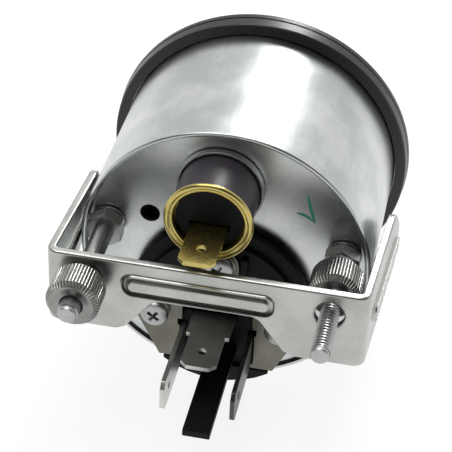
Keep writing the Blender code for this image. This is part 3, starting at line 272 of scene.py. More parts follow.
def copy_of(piece, name):
    """Copy a piece together with its mesh."""
    twin = piece.copy()
    twin.data = piece.data.copy()
    twin.name = name
    bpy.context.scene.collection.objects.link(twin)
    return twin


def rounded(radius, y, corner, start, end, count=4):
    """Points of a quarter round in a section, from one angle to another in degrees."""
    points = []
    for index in range(count + 1):
        angle = math.radians(start + (end - start) * index / count)
        points.append((radius + corner * math.cos(angle), y + corner * math.sin(angle)))
    return points


def body_of(node):
    """Name of the body that a node of the frame belongs to."""
    for body, members in frame["record"]["behaviour"]["bodies"].items():
        if node in members:
            return body


def stand_in(piece, node, material):
    """Let a finished piece stand for a node, ride with it and wear a material."""
    piece.data.materials.clear()
    piece.data.materials.append(material.made)
    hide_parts(node)
    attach(piece, body_of(node))
    slot_of(node)
    return piece


def add_on(piece, node, material):
    """Let an extra piece ride with a node's body."""
    piece.data.materials.clear()
    piece.data.materials.append(material.made)
    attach(piece, body_of(node))
    slot_of(node)
    return piece


def slot_of(node):
    """Name of the record's finish for a node."""
    for entry in frame["record"]["subparts"]:
        if entry["node"] == node:
            return entry["material_slot"]


def refine(node, material, width=0.00012, segments=2):
    """Copy a node, merge its triangles into whole faces and round its edges."""
    piece = copy_of(frame["nodes"][node], node + "_finished")
    piece.parent = None
    take(piece)
    bpy.ops.object.mode_set(mode="EDIT")
    bpy.ops.mesh.select_all(action="SELECT")
    bpy.ops.mesh.remove_doubles(threshold=0.000002)
    bpy.ops.mesh.dissolve_limited(angle_limit=math.radians(0.5))
    bpy.ops.object.mode_set(mode="OBJECT")
    soften(piece, width, segments)
    return stand_in(piece, node, material)


class Value:
    """A socket that takes part in arithmetic; each operator adds its Math node."""

    def __init__(self, finish, socket):
        self.finish = finish
        self.socket = socket

    def __add__(self, other):
        return self.finish.math("ADD", self, other)

    def __sub__(self, other):
        return self.finish.math("SUBTRACT", self, other)

    def __mul__(self, other):
        return self.finish.math("MULTIPLY", self, other)

    def __truediv__(self, other):
        return self.finish.math("DIVIDE", self, other)

    def __radd__(self, other):
        return self.finish.math("ADD", other, self)

    def __rsub__(self, other):
        return self.finish.math("SUBTRACT", other, self)

    def __rmul__(self, other):
        return self.finish.math("MULTIPLY", other, self)

    def __pow__(self, other):
        return self.finish.math("POWER", self, other)

    def between(self, low, high):
        """0 below low, 1 above high, and a soft step from one to the other."""
        settings = {"interpolation_type": "SMOOTHSTEP"}
        sockets = {"Value": self, "From Min": low, "From Max": high}
        return self.finish.node("ShaderNodeMapRange", settings, sockets, "Result")


class Nodes:
    """A node tree written as expressions on Value."""

    def __init__(self, tree, coordinates):
        self.tree = tree
        self.place = self.node("ShaderNodeTexCoord", {}, {}, coordinates)
        self.x, self.y, self.z = (self.node("ShaderNodeSeparateXYZ", {}, {"Vector": self.place}, axis)
                                  for axis in "XYZ")

    def node(self, kind, settings, sockets, output):
        """Add any node: its settings first, then its sockets' values or links."""
        made = self.tree.nodes.new(kind)
        for name, value in settings.items():
            if name == "stops":
                ramp = made.color_ramp
                while len(ramp.elements) < len(value):
                    ramp.elements.new(0.5)
                for element, (position, colour) in zip(ramp.elements, value):
                    element.position = position
                    element.color = (*colour, 1.0)
            else:
                setattr(made, name, value)
        for name, value in sockets.items():
            socket = made.inputs[name]
            if isinstance(value, Value):
                self.tree.links.new(value.socket, socket)
            else:
                socket.default_value = value
        return Value(self, made.outputs[output])

    def math(self, operation, first, second):
        """Math node on two values or numbers."""
        return self.node("ShaderNodeMath", {"operation": operation}, {0: first, 1: second}, 0)

    def blend(self, factor, first, second):
        """Mix two colours."""
        sockets = {0: factor}
        for index, colour in ((6, first), (7, second)):
            sockets[index] = colour if isinstance(colour, Value) else (*colour, 1.0)
        return self.node("ShaderNodeMix", {"data_type": "RGBA"}, sockets, 2)


class Finish(Nodes):
    """A material made of one shader and the expressions that feed it."""

    def __init__(self, name, roughness=0.5, metallic=0.0, **constants):
        self.made = bpy.data.materials.new(name)
        self.made.use_nodes = True
        super().__init__(self.made.node_tree, "Object")
        self.shader = self.tree.nodes["Principled BSDF"]
        self.shader.inputs["Roughness"].default_value = roughness
        self.shader.inputs["Metallic"].default_value = metallic
        for socket, value in constants.items():
            self.shader.inputs[socket.replace("_", " ")].default_value = value

    def stretched(self, scale, turn=(0.0, 0.0, 0.0), centre=(0.0, 0.0, 0.0)):
        """Object coordinates scaled along each axis, for grain that runs one way."""
        sockets = {"Vector": self.place, "Scale": scale, "Rotation": turn, "Location": centre}
        return self.node("ShaderNodeMapping", {}, sockets, "Vector")

    def noise(self, scale, detail=3.0, rough=0.55, vector=None):
        """Noise from 0 to 1; scale is in features a metre."""
        sockets = {"Vector": vector or self.place, "Scale": scale, "Detail": detail,
                   "Roughness": rough}
        return self.node("ShaderNodeTexNoise", {}, sockets, "Fac")

    def spots(self, scale, size, vector=None):
        """Small round spots, 1 in the middle of each."""
        sockets = {"Vector": vector or self.place, "Scale": scale}
        near = self.node("ShaderNodeTexVoronoi", {}, sockets, "Distance")
        return 1.0 - near.between(size * 0.5, size)

    def colour(self, value):
        """Feed the base colour."""
        self.tree.links.new(value.socket, self.shader.inputs["Base Color"])

    def rough(self, value):
        """Feed the roughness."""
        self.tree.links.new(value.socket, self.shader.inputs["Roughness"])

    def bump(self, height, distance, strength=1.0):
        """Raise the surface by a height from 0 to 1 times a distance in metres."""
        sockets = {"Height": height, "Distance": distance, "Strength": strength}
        normal = self.node("ShaderNodeBump", {}, sockets, "Normal")
        self.tree.links.new(normal.socket, self.shader.inputs["Normal"])


def plated(name, light, dark, roughness, grain=(1.0, 1.0, 1.0)):
    """Zinc plating: soft clouds, fine grain along one axis, dull specks and hairlines."""
    made = Finish(name, roughness, 1.0)
    clouds = made.noise(110.0, 3.0)
    fine = made.noise(1500.0, 4.0, 0.6)
    lines = made.noise(1400.0, 3.0, 0.6, made.stretched(grain))
    specks = made.spots(900.0, 0.16) * made.noise(260.0, 2.0).between(0.52, 0.66)
    tone = (clouds.between(0.3, 0.7) * 0.55 + fine * 0.25 + lines * 0.35).between(0.25, 0.95)
    base = made.blend(tone, dark, light)
    made.colour(made.blend(specks * 0.45, base, tuple(0.55 * part for part in dark)))
    made.rough(roughness - 0.07 + clouds * 0.09 + lines * 0.06 + specks * 0.2)
    made.bump(fine * 0.4 + lines * 0.6, 0.000012)
    return made


def moulded(name, colour, roughness, grain=0.00001, lift=1.25, **constants):
    """Moulded plastic: fine texture, faint flow clouds and a little dust."""
    made = Finish(name, roughness, **constants)
    clouds = made.noise(180.0, 3.0)
    fine = made.noise(3200.0, 3.0, 0.6)
    dust = made.spots(1500.0, 0.14) * made.noise(300.0, 2.0).between(0.55, 0.7)
    base = made.blend(clouds, colour, tuple(part * lift for part in colour))
    made.colour(made.blend(dust * 0.3, base, (0.16, 0.15, 0.14)))
    made.rough(roughness - 0.06 + clouds * 0.1 + fine * 0.05 + dust * 0.2)
    made.bump(fine, grain)
    return made


def yellow_metal(name, light, dark, roughness):
    """Brass: warm clouds, faint turning lines and darker tarnish."""
    made = Finish(name, roughness, 1.0)
    clouds = made.noise(240.0, 4.0)
    lines = made.noise(2600.0, 2.0, 0.5, made.stretched((1.0, 6.0, 1.0)))
    tarnish = made.noise(420.0, 5.0, 0.65).between(0.55, 0.75)
    base = made.blend(clouds * 0.6 + lines * 0.3, dark, light)
    made.colour(made.blend(tarnish * 0.35, base, tuple(0.6 * part for part in dark)))
    made.rough(roughness - 0.04 + lines * 0.08 + tarnish * 0.12)
    made.bump(lines, 0.000008)
    return made


ZINC_LIGHT = (0.66, 0.68, 0.66)
ZINC_DARK = (0.50, 0.53, 0.53)
case_zinc = plated("case_zinc", ZINC_LIGHT, ZINC_DARK, 0.30, (1.0, 0.06, 1.0))
# Zinc plating of the bracket and movement frame, its tone set darker than the case's as painted shade for
# the dark surroundings it faces
sheet_zinc = plated("sheet_zinc", (0.52, 0.53, 0.505), (0.42, 0.43, 0.41), 0.32, (0.08, 1.0, 1.0))
# Painted shade: the terminal plate's zinc, darkened and warmed to a shaded tone
shaded_plate_zinc = plated("shaded_plate_zinc", (0.205, 0.20, 0.172), (0.145, 0.14, 0.118), 0.34, (1.0, 1.0, 0.1))
bright_zinc = plated("bright_zinc", (0.47, 0.48, 0.47), (0.36, 0.37, 0.37), 0.36, (1.0, 1.0, 1.0))
# Zinc plating of the thumb nuts, its tone lowered below the other zinc parts as painted shade
knurl_zinc = plated("knurl_zinc", (0.33, 0.335, 0.32), (0.22, 0.225, 0.215), 0.30, (1.0, 0.2, 1.0))
blade_zinc = plated("blade_zinc", (0.66, 0.66, 0.63), (0.52, 0.52, 0.50), 0.38, (1.0, 0.08, 1.0))
# Painted shade: a much darker copy of the tabs' zinc, worn by the right tab alone
shaded_blade_zinc = plated("shaded_blade_zinc", (0.13, 0.13, 0.125), (0.09, 0.09, 0.087), 0.42, (1.0, 0.08, 1.0))
bezel_paint = moulded("bezel_paint", (0.013, 0.014, 0.016), 0.34, 0.000006)
black_moulding = moulded("black_moulding", (0.0035, 0.004, 0.005), 0.5, Specular_IOR_Level=0.16)
lamp_moulding = moulded("lamp_moulding", (0.026, 0.021, 0.028), 0.40, Specular_IOR_Level=0.35)
seal_rubber = moulded("seal_rubber", (0.018, 0.018, 0.018), 0.75, 0.00002)
dial_paint = moulded("dial_paint", (0.008, 0.008, 0.009), 0.62)
pointer_paint = moulded("pointer_paint", (0.80, 0.17, 0.03), 0.5, 0.000004, 1.1)
mark_paint = moulded("mark_paint", (0.78, 0.77, 0.72), 0.55, 0.000004, 1.05)
red_paint = moulded("red_paint", (0.62, 0.03, 0.02), 0.55, 0.000004, 1.1)
green_paint = moulded("green_paint", (0.03, 0.26, 0.19), 0.4, 0.000006, 1.5)
nylon = moulded("nylon", (0.74, 0.71, 0.62), 0.5, 0.000006, 1.05)
resistor_coat = moulded("resistor_coat", (0.30, 0.38, 0.36), 0.4, 0.000006, 1.1)
brass = yellow_metal("brass", (0.62, 0.52, 0.19), (0.46, 0.37, 0.12), 0.26)
steel = plated("steel", (0.60, 0.60, 0.61), (0.45, 0.45, 0.46), 0.30)
magnet_alloy = plated("magnet_alloy", (0.16, 0.16, 0.17), (0.08, 0.08, 0.09), 0.5)

winding = Finish("winding", 0.35, 0.9)
strands = winding.node("ShaderNodeTexWave", {"bands_direction": "DIAGONAL"},
                       {"Vector": winding.place, "Scale": 900.0, "Distortion": 0.6}, "Fac")
winding.colour(winding.blend(strands, (0.30, 0.09, 0.03), (0.74, 0.30, 0.14)))
winding.rough(0.28 + strands * 0.2)
winding.bump(strands, 0.00006)

lens_glass = Finish("lens_glass", 0.03, 0.0, Transmission_Weight=1.0, IOR=1.5)
haze = lens_glass.noise(500.0, 3.0)
lens_glass.colour(lens_glass.blend(haze, (0.93, 0.96, 0.95), (0.97, 0.98, 0.98)))
lens_glass.rough(0.02 + haze * 0.04)
bulb_glass = Finish("bulb_glass", 0.05, 0.0, IOR=1.5)
frost = bulb_glass.noise(700.0, 3.0)
bulb_glass.colour(bulb_glass.blend(frost, (0.66, 0.68, 0.66), (0.80, 0.81, 0.78)))
bulb_glass.rough(0.06 + frost * 0.08)


bpy.context.scene.view_settings.view_transform = "Standard"

# Camera, at the photograph's angle
right = Vector((-0.979383, -0.198229, 0.038910))
down = Vector((-0.148270, 0.574549, -0.804928))
ahead = Vector((0.137205, -0.794102, -0.592095))
place = Vector((-0.03983314, 0.26342156, 0.17841226))
eye = bpy.data.cameras.new("view")
eye.sensor_width = 36.0
eye.lens = 132.59
eye.clip_start = 0.01
camera = bpy.data.objects.new("view", eye)
rows = [(right[i], -down[i], -ahead[i], place[i]) for i in range(3)]
camera.matrix_world = Matrix((*rows, (0.0, 0.0, 0.0, 1.0)))
bpy.context.scene.collection.objects.link(camera)
bpy.context.scene.camera = camera


# Case: drawn can with its rim bead, turned-out edge and openings
half_bead = 0.00045
crest = rounded(CASE_RADIUS - half_bead, RIM_Y - half_bead, half_bead, 0, 165, 9)
can = lathe("can", [(0.0050, 0.0321), (0.0249, 0.0321), (0.0252, 0.0318), (0.0252, -0.0014),
                    (0.0275, -0.0014), (0.0275, -0.0008), (0.0262, -0.0008), (CASE_RADIUS, -0.0004),
                    (CASE_RADIUS, 0.0200), *crest, (0.0250, PLATE_Y + 0.0001), (0.0249, PLATE_Y),
                    (0.0050, PLATE_Y)], 192)
openings = [drum("lamp_opening", 0.0073, 0.031, 0.035, *LAMP),
            drum("small_hole", 0.0018, 0.031, 0.035, STUD_X - 0.0074, STUD_Z + 0.0027, 40)]
for side in (1, -1):
    openings.append(drum("stud_opening", 0.0019, 0.031, 0.035, side * STUD_X, STUD_Z, 40))
for x, z in ((SCREW_X, SCREW_Z), (-SCREW_X, SCREW_Z), TOP_SCREW):
    openings.append(drum("screw_opening", 0.0015, 0.031, 0.035, x, z, 32))
openings.append(block("tab_opening", (-0.0070, 0.031, -0.02025), (0.0070, 0.035, -0.0103)))
cut(can, *openings)
stand_in(soften(can), "case_shell", case_zinc)

# Bezel: rolled ring with a groove near its front edge
bezel = lathe("bezel", [(0.0263, 0.0), (0.0280, 0.0), *rounded(0.0279, -0.0004, 0.0004, 80, 0, 3),
                        (0.02845, -0.0022), (0.02835, -0.0023), (0.02835, -0.0025), (0.0285, -0.0026),
                        *rounded(0.0278, -0.0034, 0.0008, 0, -90, 5), (0.0252, -0.0042),
                        (0.0250, -0.0040), (0.0250, -0.0037), (0.0272, -0.0037), (0.0281, -0.0028),
                        (0.0278, -0.0005), (0.0263, -0.0005)], 192, ring=True)
stand_in(soften(bezel), "bezel_ring", bezel_paint)

for node, finish in (("lens_seal", seal_rubber), ("mask_ring", dial_paint), ("dial_plate", dial_paint)):
    refine(node, finish, 0.00008)
refine("lens", lens_glass, 0.0)


def threaded_rod(name, x, front, rear):
    """Rod with a turned screw thread and a chamfered tip."""
    core = STUD_RADIUS - 0.00028
    bpy.ops.object.select_all(action="DESELECT")
    bpy.ops.mesh.primitive_plane_add(size=0.0001, location=(x + core, front, STUD_Z))
    piece = bpy.context.object
    piece.name = name
    bpy.ops.object.mode_set(mode="EDIT")
    bpy.ops.mesh.select_all(action="SELECT")
    bpy.ops.mesh.merge(type="CENTER")
    steps = ((0.0, 0.04), (0.00020, 0.16), (0.00008, 0.10), (0.0, 0.36), (-0.00008, 0.10),
             (-0.00020, 0.16), (0.0, 0.08))
    for out, along in steps:
        bpy.ops.mesh.extrude_vertices_move(
            TRANSFORM_OT_translate={"value": (out, along * THREAD_PITCH, 0.0)})
    bpy.ops.object.mode_set(mode="OBJECT")
    settle(piece)
    piece.location = (-x, 0.0, -STUD_Z)
    settle(piece)
    turns = math.ceil((rear - front) / THREAD_PITCH) + 1
    modify(piece, "SCREW", axis="Y", angle=2 * math.pi, screw_offset=THREAD_PITCH, steps=32,
           render_steps=32, iterations=turns, use_merge_vertices=True, merge_threshold=0.000001)
    piece.location = (x, 0.0, STUD_Z)
    settle(piece)
    take(piece)
    bpy.ops.object.mode_set(mode="EDIT")
    for y, outward in ((front + THREAD_PITCH, -1.0), (rear, 1.0)):
        bpy.ops.mesh.select_all(action="SELECT")
        bpy.ops.mesh.bisect(plane_co=(x, y, STUD_Z), plane_no=(0.0, outward, 0.0), clear_outer=True,
                            use_fill=True)
    bpy.ops.mesh.select_all(action="SELECT")
    bpy.ops.mesh.normals_make_consistent(inside=False)
    bpy.ops.object.mode_set(mode="OBJECT")
    chamfer = lathe("chamfer", [(STUD_RADIUS, front), (STUD_RADIUS + 0.0001, front + 0.0001),
                                (STUD_RADIUS + 0.0001, rear - 0.00055), (STUD_RADIUS - 0.00045, rear)],
                    64, x, STUD_Z)
    return trim(piece, chamfer)


for side, word in ((1, "left"), (-1, "right")):
    x = side * STUD_X
    rod = threaded_rod("stud_" + word + "_rod", x, 0.0312, 0.0603)
    tip = lathe("stud_tip", [(0.0012, 0.0590), (0.00155, 0.0594), (0.00157, 0.0605), (0.00142, 0.0607)],
                48, x, STUD_Z)
    head = lathe("stud_head", [(0.0030, 0.0307), (0.0032, 0.0309), (0.0032, 0.0316), (0.0030, 0.0318)],
                 48, x, STUD_Z)
    bpy.ops.object.select_all(action="DESELECT")
    rod = fuse("stud_" + word + "_rod", rod, head, tip)
    stand_in(soften(rod, 0.0, 2, 40.0), "stud_" + word, bright_zinc)


def knurled_nut(name, x, front):
    """Thumb nut: a straight knurl between chamfers, a plain collar and turned end rings."""
    knurl = front + 0.0015
    rear = knurl + 0.0060
    facets = 48 * 6
    bore = STUD_RADIUS + 0.00012
    nut = lathe(name, [(bore, front), (0.0033, front), (0.0034, front + 0.0001), (0.0034, knurl),
                       (0.0042, knurl), (0.0046, knurl + 0.0004), (0.0046, rear - 0.0009),
                       (0.0038, rear), (0.0031, rear), (0.0029, rear - 0.00015),
                       (bore + 0.0003, rear - 0.00015), (bore, rear - 0.0005)], facets, x, STUD_Z,
                ring=True)
    take(nut)
    bpy.ops.object.mode_set(mode="EDIT")
    for phases, share in (((2, 4), 0.990), ((3,), 0.950)):
        def in_groove(point, phases=phases):
            radius = math.hypot(point.x - x, point.z - STUD_Z)
            angle = math.atan2(point.z - STUD_Z, point.x - x) % (2 * math.pi)
            step = round(angle * facets / (2 * math.pi)) % 6
            return radius > 0.0045 and step in phases
        pick(nut, "verts", in_groove)
        bpy.ops.transform.resize(value=(share, 1.0, share), center_override=(x, rear, STUD_Z))
    bpy.ops.object.mode_set(mode="OBJECT")
    return soften(nut, 0.0, 2, 38.0)


stand_in(knurled_nut("left_knurled_nut", STUD_X, 0.0505), "thumb_nut_left", knurl_zinc)
stand_in(knurled_nut("right_knurled_nut", -STUD_X, 0.0379), "thumb_nut_right", knurl_zinc)

for side, word in ((1, "left"), (-1, "right")):
    x = side * STUD_X
    bpy.ops.object.select_all(action="DESELECT")
    hexagon = drum("hexagon_" + word, 0.006 / math.sqrt(3), 0.0340, 0.0368, x, STUD_Z, 6)
    cone = lathe("cone", [(0.00295, 0.0340), (0.0036, 0.0344), (0.0036, 0.0364), (0.00295, 0.0368)],
                 64, x, STUD_Z)
    trim(hexagon, cone)
    cut(hexagon, drum("bore", STUD_RADIUS + 0.0001, 0.0330, 0.0380, x, STUD_Z, 48))
    stand_in(soften(hexagon, 0.00006, 2, 20.0), "stud_nut_" + word, bright_zinc)
    refine("stud_washer_" + word, bright_zinc, 0.00008)
refine("thumb_washer_right", bright_zinc, 0.00008)


def bent_strip(name):
    """Extrude a leg's end along the strip and spin it round both bends."""
    bpy.ops.object.select_all(action="DESELECT")
    bpy.ops.mesh.primitive_plane_add(size=1.0, rotation=(math.pi / 2, 0.0, 0.0), location=(
        HALF_WIDTH - SHEET / 2, LEG_FRONT, (BRACKET_TOP + TAB_FOOT) / 2))
    strip = bpy.context.object
    strip.name = name
    strip.scale = (SHEET, BRACKET_TOP - TAB_FOOT, 1.0)
    settle(strip)
    turn_x, turn_y = HALF_WIDTH - BEND, BRACKET_Y - BEND
    bpy.ops.object.mode_set(mode="EDIT")
    bpy.ops.mesh.select_all(action="SELECT")
    for move, centre in (((0.0, turn_y - LEG_FRONT, 0.0), turn_x), ((-2 * turn_x, 0.0, 0.0), -turn_x)):
        bpy.ops.mesh.extrude_region_move(TRANSFORM_OT_translate={"value": move})
        bpy.ops.mesh.spin(steps=8, angle=math.pi / 2, center=(centre, turn_y, 0.0), axis=(0.0, 0.0, -1.0))
    bpy.ops.mesh.extrude_region_move(TRANSFORM_OT_translate={"value": (0.0, LEG_FRONT - turn_y, 0.0)})
    bpy.ops.mesh.select_all(action="SELECT")
    bpy.ops.mesh.remove_doubles(threshold=0.000002)
    bpy.ops.mesh.normals_make_consistent(inside=False)
    bpy.ops.object.mode_set(mode="OBJECT")
    return strip


def pressed_pad(name, length, half_height, steps):
    """Long pad with round ends, its flanks raised in soft steps of (inset, rise)."""
    bpy.ops.object.select_all(action="DESELECT")
    bpy.ops.mesh.primitive_plane_add(size=1.0, rotation=(-math.pi / 2, 0.0, 0.0),
                                     location=(0.0, -0.0001, 0.0))
    pad = bpy.context.object
    pad.name = name
    pad.scale = (length, 2 * half_height, 1.0)
    settle(pad)
    bpy.ops.object.mode_set(mode="EDIT")
    bpy.ops.mesh.select_all(action="SELECT")
    bpy.ops.mesh.bevel(offset=half_height * 0.88, segments=9, affect="VERTICES")
    bpy.ops.mesh.extrude_region_move(TRANSFORM_OT_translate={"value": (0.0, 0.000105, 0.0)})
    for inset, rise in steps:
        bpy.ops.mesh.inset(thickness=inset, depth=rise)
    bpy.ops.mesh.select_all(action="SELECT")
    bpy.ops.mesh.normals_make_consistent(inside=False)
    bpy.ops.object.mode_set(mode="OBJECT")
    return pad


def press(piece, pad, outward, place, turn):
    """Raise a pad on one side of the sheet and hollow the other side to match."""
    pad.rotation_euler = (0.0, 0.0, turn)
    pad.location = place
    settle(pad)
    hollow = copy_of(pad, "hollow")
    hollow.location = [-SHEET * part for part in outward]
    weld(piece, pad)
    return cut(piece, hollow)


def set_legs(piece):
    """Twist the left leg so that it leans in against the can, and spread the right leg."""
    lean = math.asin(0.0050 / CASE_RADIUS)
    turn_y = BRACKET_Y - BEND
    shape = bmesh.new()
    shape.from_mesh(piece.data)
    for vert in shape.verts:
        x, y, z = vert.co
        if y < turn_y and x > 0.020:
            share = min((turn_y - y) / (turn_y - RIM_Y), 1.0)
            against = (CASE_RADIUS + 0.0003 - z * math.sin(lean)) / math.cos(lean) + SHEET
            vert.co.x += share * (against - HALF_WIDTH)
        elif y < turn_y and x < -0.020:
            vert.co.x -= (turn_y - y) / (turn_y - LEG_FRONT) * SPREAD
    shape.to_mesh(piece.data)
    shape.free()


bracket = bent_strip("bracket")
before_web, beside_legs = 0.0480, -0.030
(notch_x, notch_z), (slope_y, slope_z) = NOTCH_END, SLOPE_END
notch = prism("between_tabs", [(-notch_x, before_web, notch_z), (-STRIP_END, before_web, STRIP_FOOT),
                               (STRIP_END, before_web, STRIP_FOOT), (notch_x, before_web, notch_z)],
              (0.0, 0.003, 0.0))
slopes = prism("corner_slopes", [(beside_legs, SLOPE_START_Y, BRACKET_TOP), (beside_legs, slope_y, slope_z),
                                 (beside_legs, slope_y, 0.0100), (beside_legs, SLOPE_START_Y, 0.0100)],
               (-2 * beside_legs, 0.0, 0.0))
cut(bracket, notch, slopes)
web_middle, leg_middle = BRACKET_Y - SHEET / 2, HALF_WIDTH - SHEET / 2
corners = (((TAB_SIDE, web_middle, TAB_FOOT), 0.0014), ((STRIP_END, web_middle, STRIP_FOOT), 0.0010),
           ((leg_middle, SLOPE_START_Y, BRACKET_TOP), 0.0020),
           ((leg_middle, LEG_FRONT, SLOPE_FOOT_Z), 0.0015), ((leg_middle, LEG_FRONT, TAB_FOOT), 0.0015))
for corner, radius in corners:
    round_edges(bracket, radius, 6, lambda point: (
        Vector((abs(point.x), point.y, point.z)) - Vector(corner)).length < 0.00015, 15.0)
for side in (1, -1):
    cut(bracket, drum("stud_hole", 0.0025, 0.048, 0.051, side * STUD_X, STUD_Z, 48))


def on_outer_skin(point):
    """Whether an edge's centre lies on the outer face of the web, a bend or a leg."""
    if point.y > BRACKET_Y - BEND + 0.00001:
        reach = math.hypot(max(abs(point.x) - HALF_WIDTH + BEND, 0.0), point.y - BRACKET_Y + BEND)
        return reach > BEND - 0.0001
    return abs(point.x) > HALF_WIDTH - 0.0001


flank = ((0.00025, 0.00003), (0.00025, 0.00008), (0.00016, 0.00010), (0.00014, 0.00013),
         (0.00013, 0.00015), (0.00012, 0.00015), (0.00005, 0.00005))
press(bracket, pressed_pad("web_rib", 0.0260, 0.0021, flank), (0.0, 1.0, 0.0),
      (0.0012, BRACKET_Y, STUD_Z), 0.0)
low_flank = ((0.00008, 0.00002), (0.00009, 0.00008), (0.00011, 0.00015), (0.00011, 0.00015),
             (0.00009, 0.00008), (0.00009, 0.00002))
for side in (1, -1):
    press(bracket, pressed_pad("leg_rib", 0.0225, 0.0016, low_flank), (side, 0.0, 0.0),
          (side * HALF_WIDTH, *LEG_RIB_PLACE), -side * math.pi / 2)
round_edges(bracket, 0.00052, 4, lambda point: on_outer_skin(point) and point.z > TAB_FOOT + 0.001)
round_edges(bracket, 0.00030, 3, lambda point: not on_outer_skin(point) or point.z < TAB_FOOT + 0.001)
set_legs(bracket)
stand_in(soften(bracket, 0.0, 2, 34.0), "clamp_bracket", sheet_zinc)

# The terminal plate wears the darkened zinc as painted shade
refine("terminal_plate", shaded_plate_zinc, 0.00015)
refine("movement_frame", sheet_zinc, 0.00015)
for node in ("tab_centre", "tab_left"):
    refine(node, blade_zinc, 0.00012)
# The right tab wears the darkened copy of the tabs' zinc as painted shade
refine("tab_right", shaded_blade_zinc, 0.00012)
add_on(soften(block("boss_step", (-0.0049, 0.0360, -0.0003), (-0.0037, 0.0373, 0.0028)), 0.0001),
       "terminal_base", black_moulding)


def stroke(name, points, width):
    """Brush stroke on the rear plate, drawn along a line of (x, z) points."""
    sides = []
    for index, (x, z) in enumerate(points):
        before, after = points[max(index - 1, 0)], points[min(index + 1, len(points) - 1)]
        along = Vector((after[0] - before[0], after[1] - before[1])).normalized() * width / 2
        if index in (0, len(points) - 1):
            along *= 0.6
        sides.append(((x - along.y, z + along.x), (x + along.y, z - along.x)))
    outline = [left for left, right in sides] + [right for left, right in reversed(sides)]
    return prism(name, [(x, PLATE_Y - 0.00001, z) for x, z in outline], (0.0, 0.00004, 0.0))


mark = stroke("paint_tick", [(-0.01391, 0.01548), (-0.01440, 0.01350), (-0.01500, 0.01150),
                             (-0.01540, 0.01010), (-0.01440, 0.01090), (-0.01340, 0.01140),
                             (-0.01224, 0.01156)], 0.00055)
add_on(soften(mark), "case_shell", green_paint)


def cross_screw(name, x, z, turn, washer):
    """Screw with a low domed head, a captive washer and a cross that narrows towards its bottom."""
    seat = HEAD_SEAT_Y
    head = lathe(name, [(0.0012, 0.0304), (0.0013, 0.0306), (0.0013, seat), (washer, seat),
                        (washer, seat + 0.00035), (0.0024, seat + 0.0004), (0.00255, seat + 0.0005),
                        (0.0026, seat + 0.0011), (0.00252, seat + 0.0014), (0.0023, seat + 0.0017),
                        (0.0018, seat + 0.00192), (0.0012, seat + 0.00205), (0.0005, seat + 0.0021)],
                 64, x, z)
    arm, reach = 0.00036, 0.00165
    outline = []
    for quarter in range(4):
        for along, across in ((arm, arm), (reach, arm * 1.25), (reach, -arm * 1.25)):
            lean = turn - math.radians(90.0 * quarter)
            outline.append((x + along * math.cos(lean) - across * math.sin(lean), seat + 0.0030,
                            z + along * math.sin(lean) + across * math.cos(lean)))
    cross = prism("cross", outline, (0.0, -0.0024, 0.0))
    take(cross)
    bpy.ops.object.mode_set(mode="EDIT")
    pick(cross, "verts", lambda point: point.y < seat + 0.0010)
    bpy.ops.transform.resize(value=(0.42, 1.0, 0.42), center_override=(x, seat, z))
    bpy.ops.object.mode_set(mode="OBJECT")
    return soften(cut(head, cross), 0.00005, 2, 30.0)


for word, x, z, turn in (("left", SCREW_X, SCREW_Z, 35.0), ("right", -SCREW_X, SCREW_Z, 10.0),
                         ("top", *TOP_SCREW, 20.0)):
    screw = cross_screw("screw_" + word, x, z, math.radians(turn), 0.0026)
    stand_in(screw, "terminal_screw_" + word, bright_zinc)
refine("terminal_base", black_moulding, 0.00015)
refine("lamp_insulator", black_moulding, 0.0001)
refine("lamp_tab", brass, 0.0001)
refine("lamp_ferrule", bright_zinc, 0.0001)
refine("lamp_bulb", bulb_glass, 0.0)
refine("lamp_spring", steel, 0.0)

# Lamp holder: tube and brass shell
x, z = LAMP
tube = lathe("lamp_tube", [(0.00665, 0.0430), (0.0069, 0.0430), (0.0070, 0.0429), (0.0070, 0.0318),
                           (0.0084, 0.0318), (0.0084, 0.0309), (0.00665, 0.0309)], 128, x, z, ring=True)
stand_in(soften(tube), "lamp_socket", lamp_moulding)
lip = rounded(0.00715, 0.04395, 0.00055, -80, 110, 9)
inner_lip = rounded(0.00645, 0.04385, 0.00035, 60, 180, 6)
shell = lathe("lamp_ring", [(0.0064, 0.0433), (0.0071, 0.0433), *lip, (0.0068, 0.04428), *inner_lip,
                            (0.0061, 0.0412), (0.0050, 0.0412), (0.0050, 0.0302), (0.0053, 0.0302),
                            (0.0053, 0.0409), (0.0064, 0.0409)], 128, x, z, ring=True)
stand_in(soften(shell), "lamp_shell", brass)

# Dial markings: plain ticks, a low zone and plain numbers, behind the lens
DIAL_Y = 0.0030


def on_dial(piece, angle, radius):
    """Stand a flat mark on the dial, at an angle from twelve o'clock in degrees."""
    lean = Matrix.Rotation(math.radians(angle), 4, "Y")
    piece.matrix_world = lean @ Matrix.Translation((0.0, DIAL_Y - 0.00006, radius)) @ piece.matrix_world
    return settle(piece)


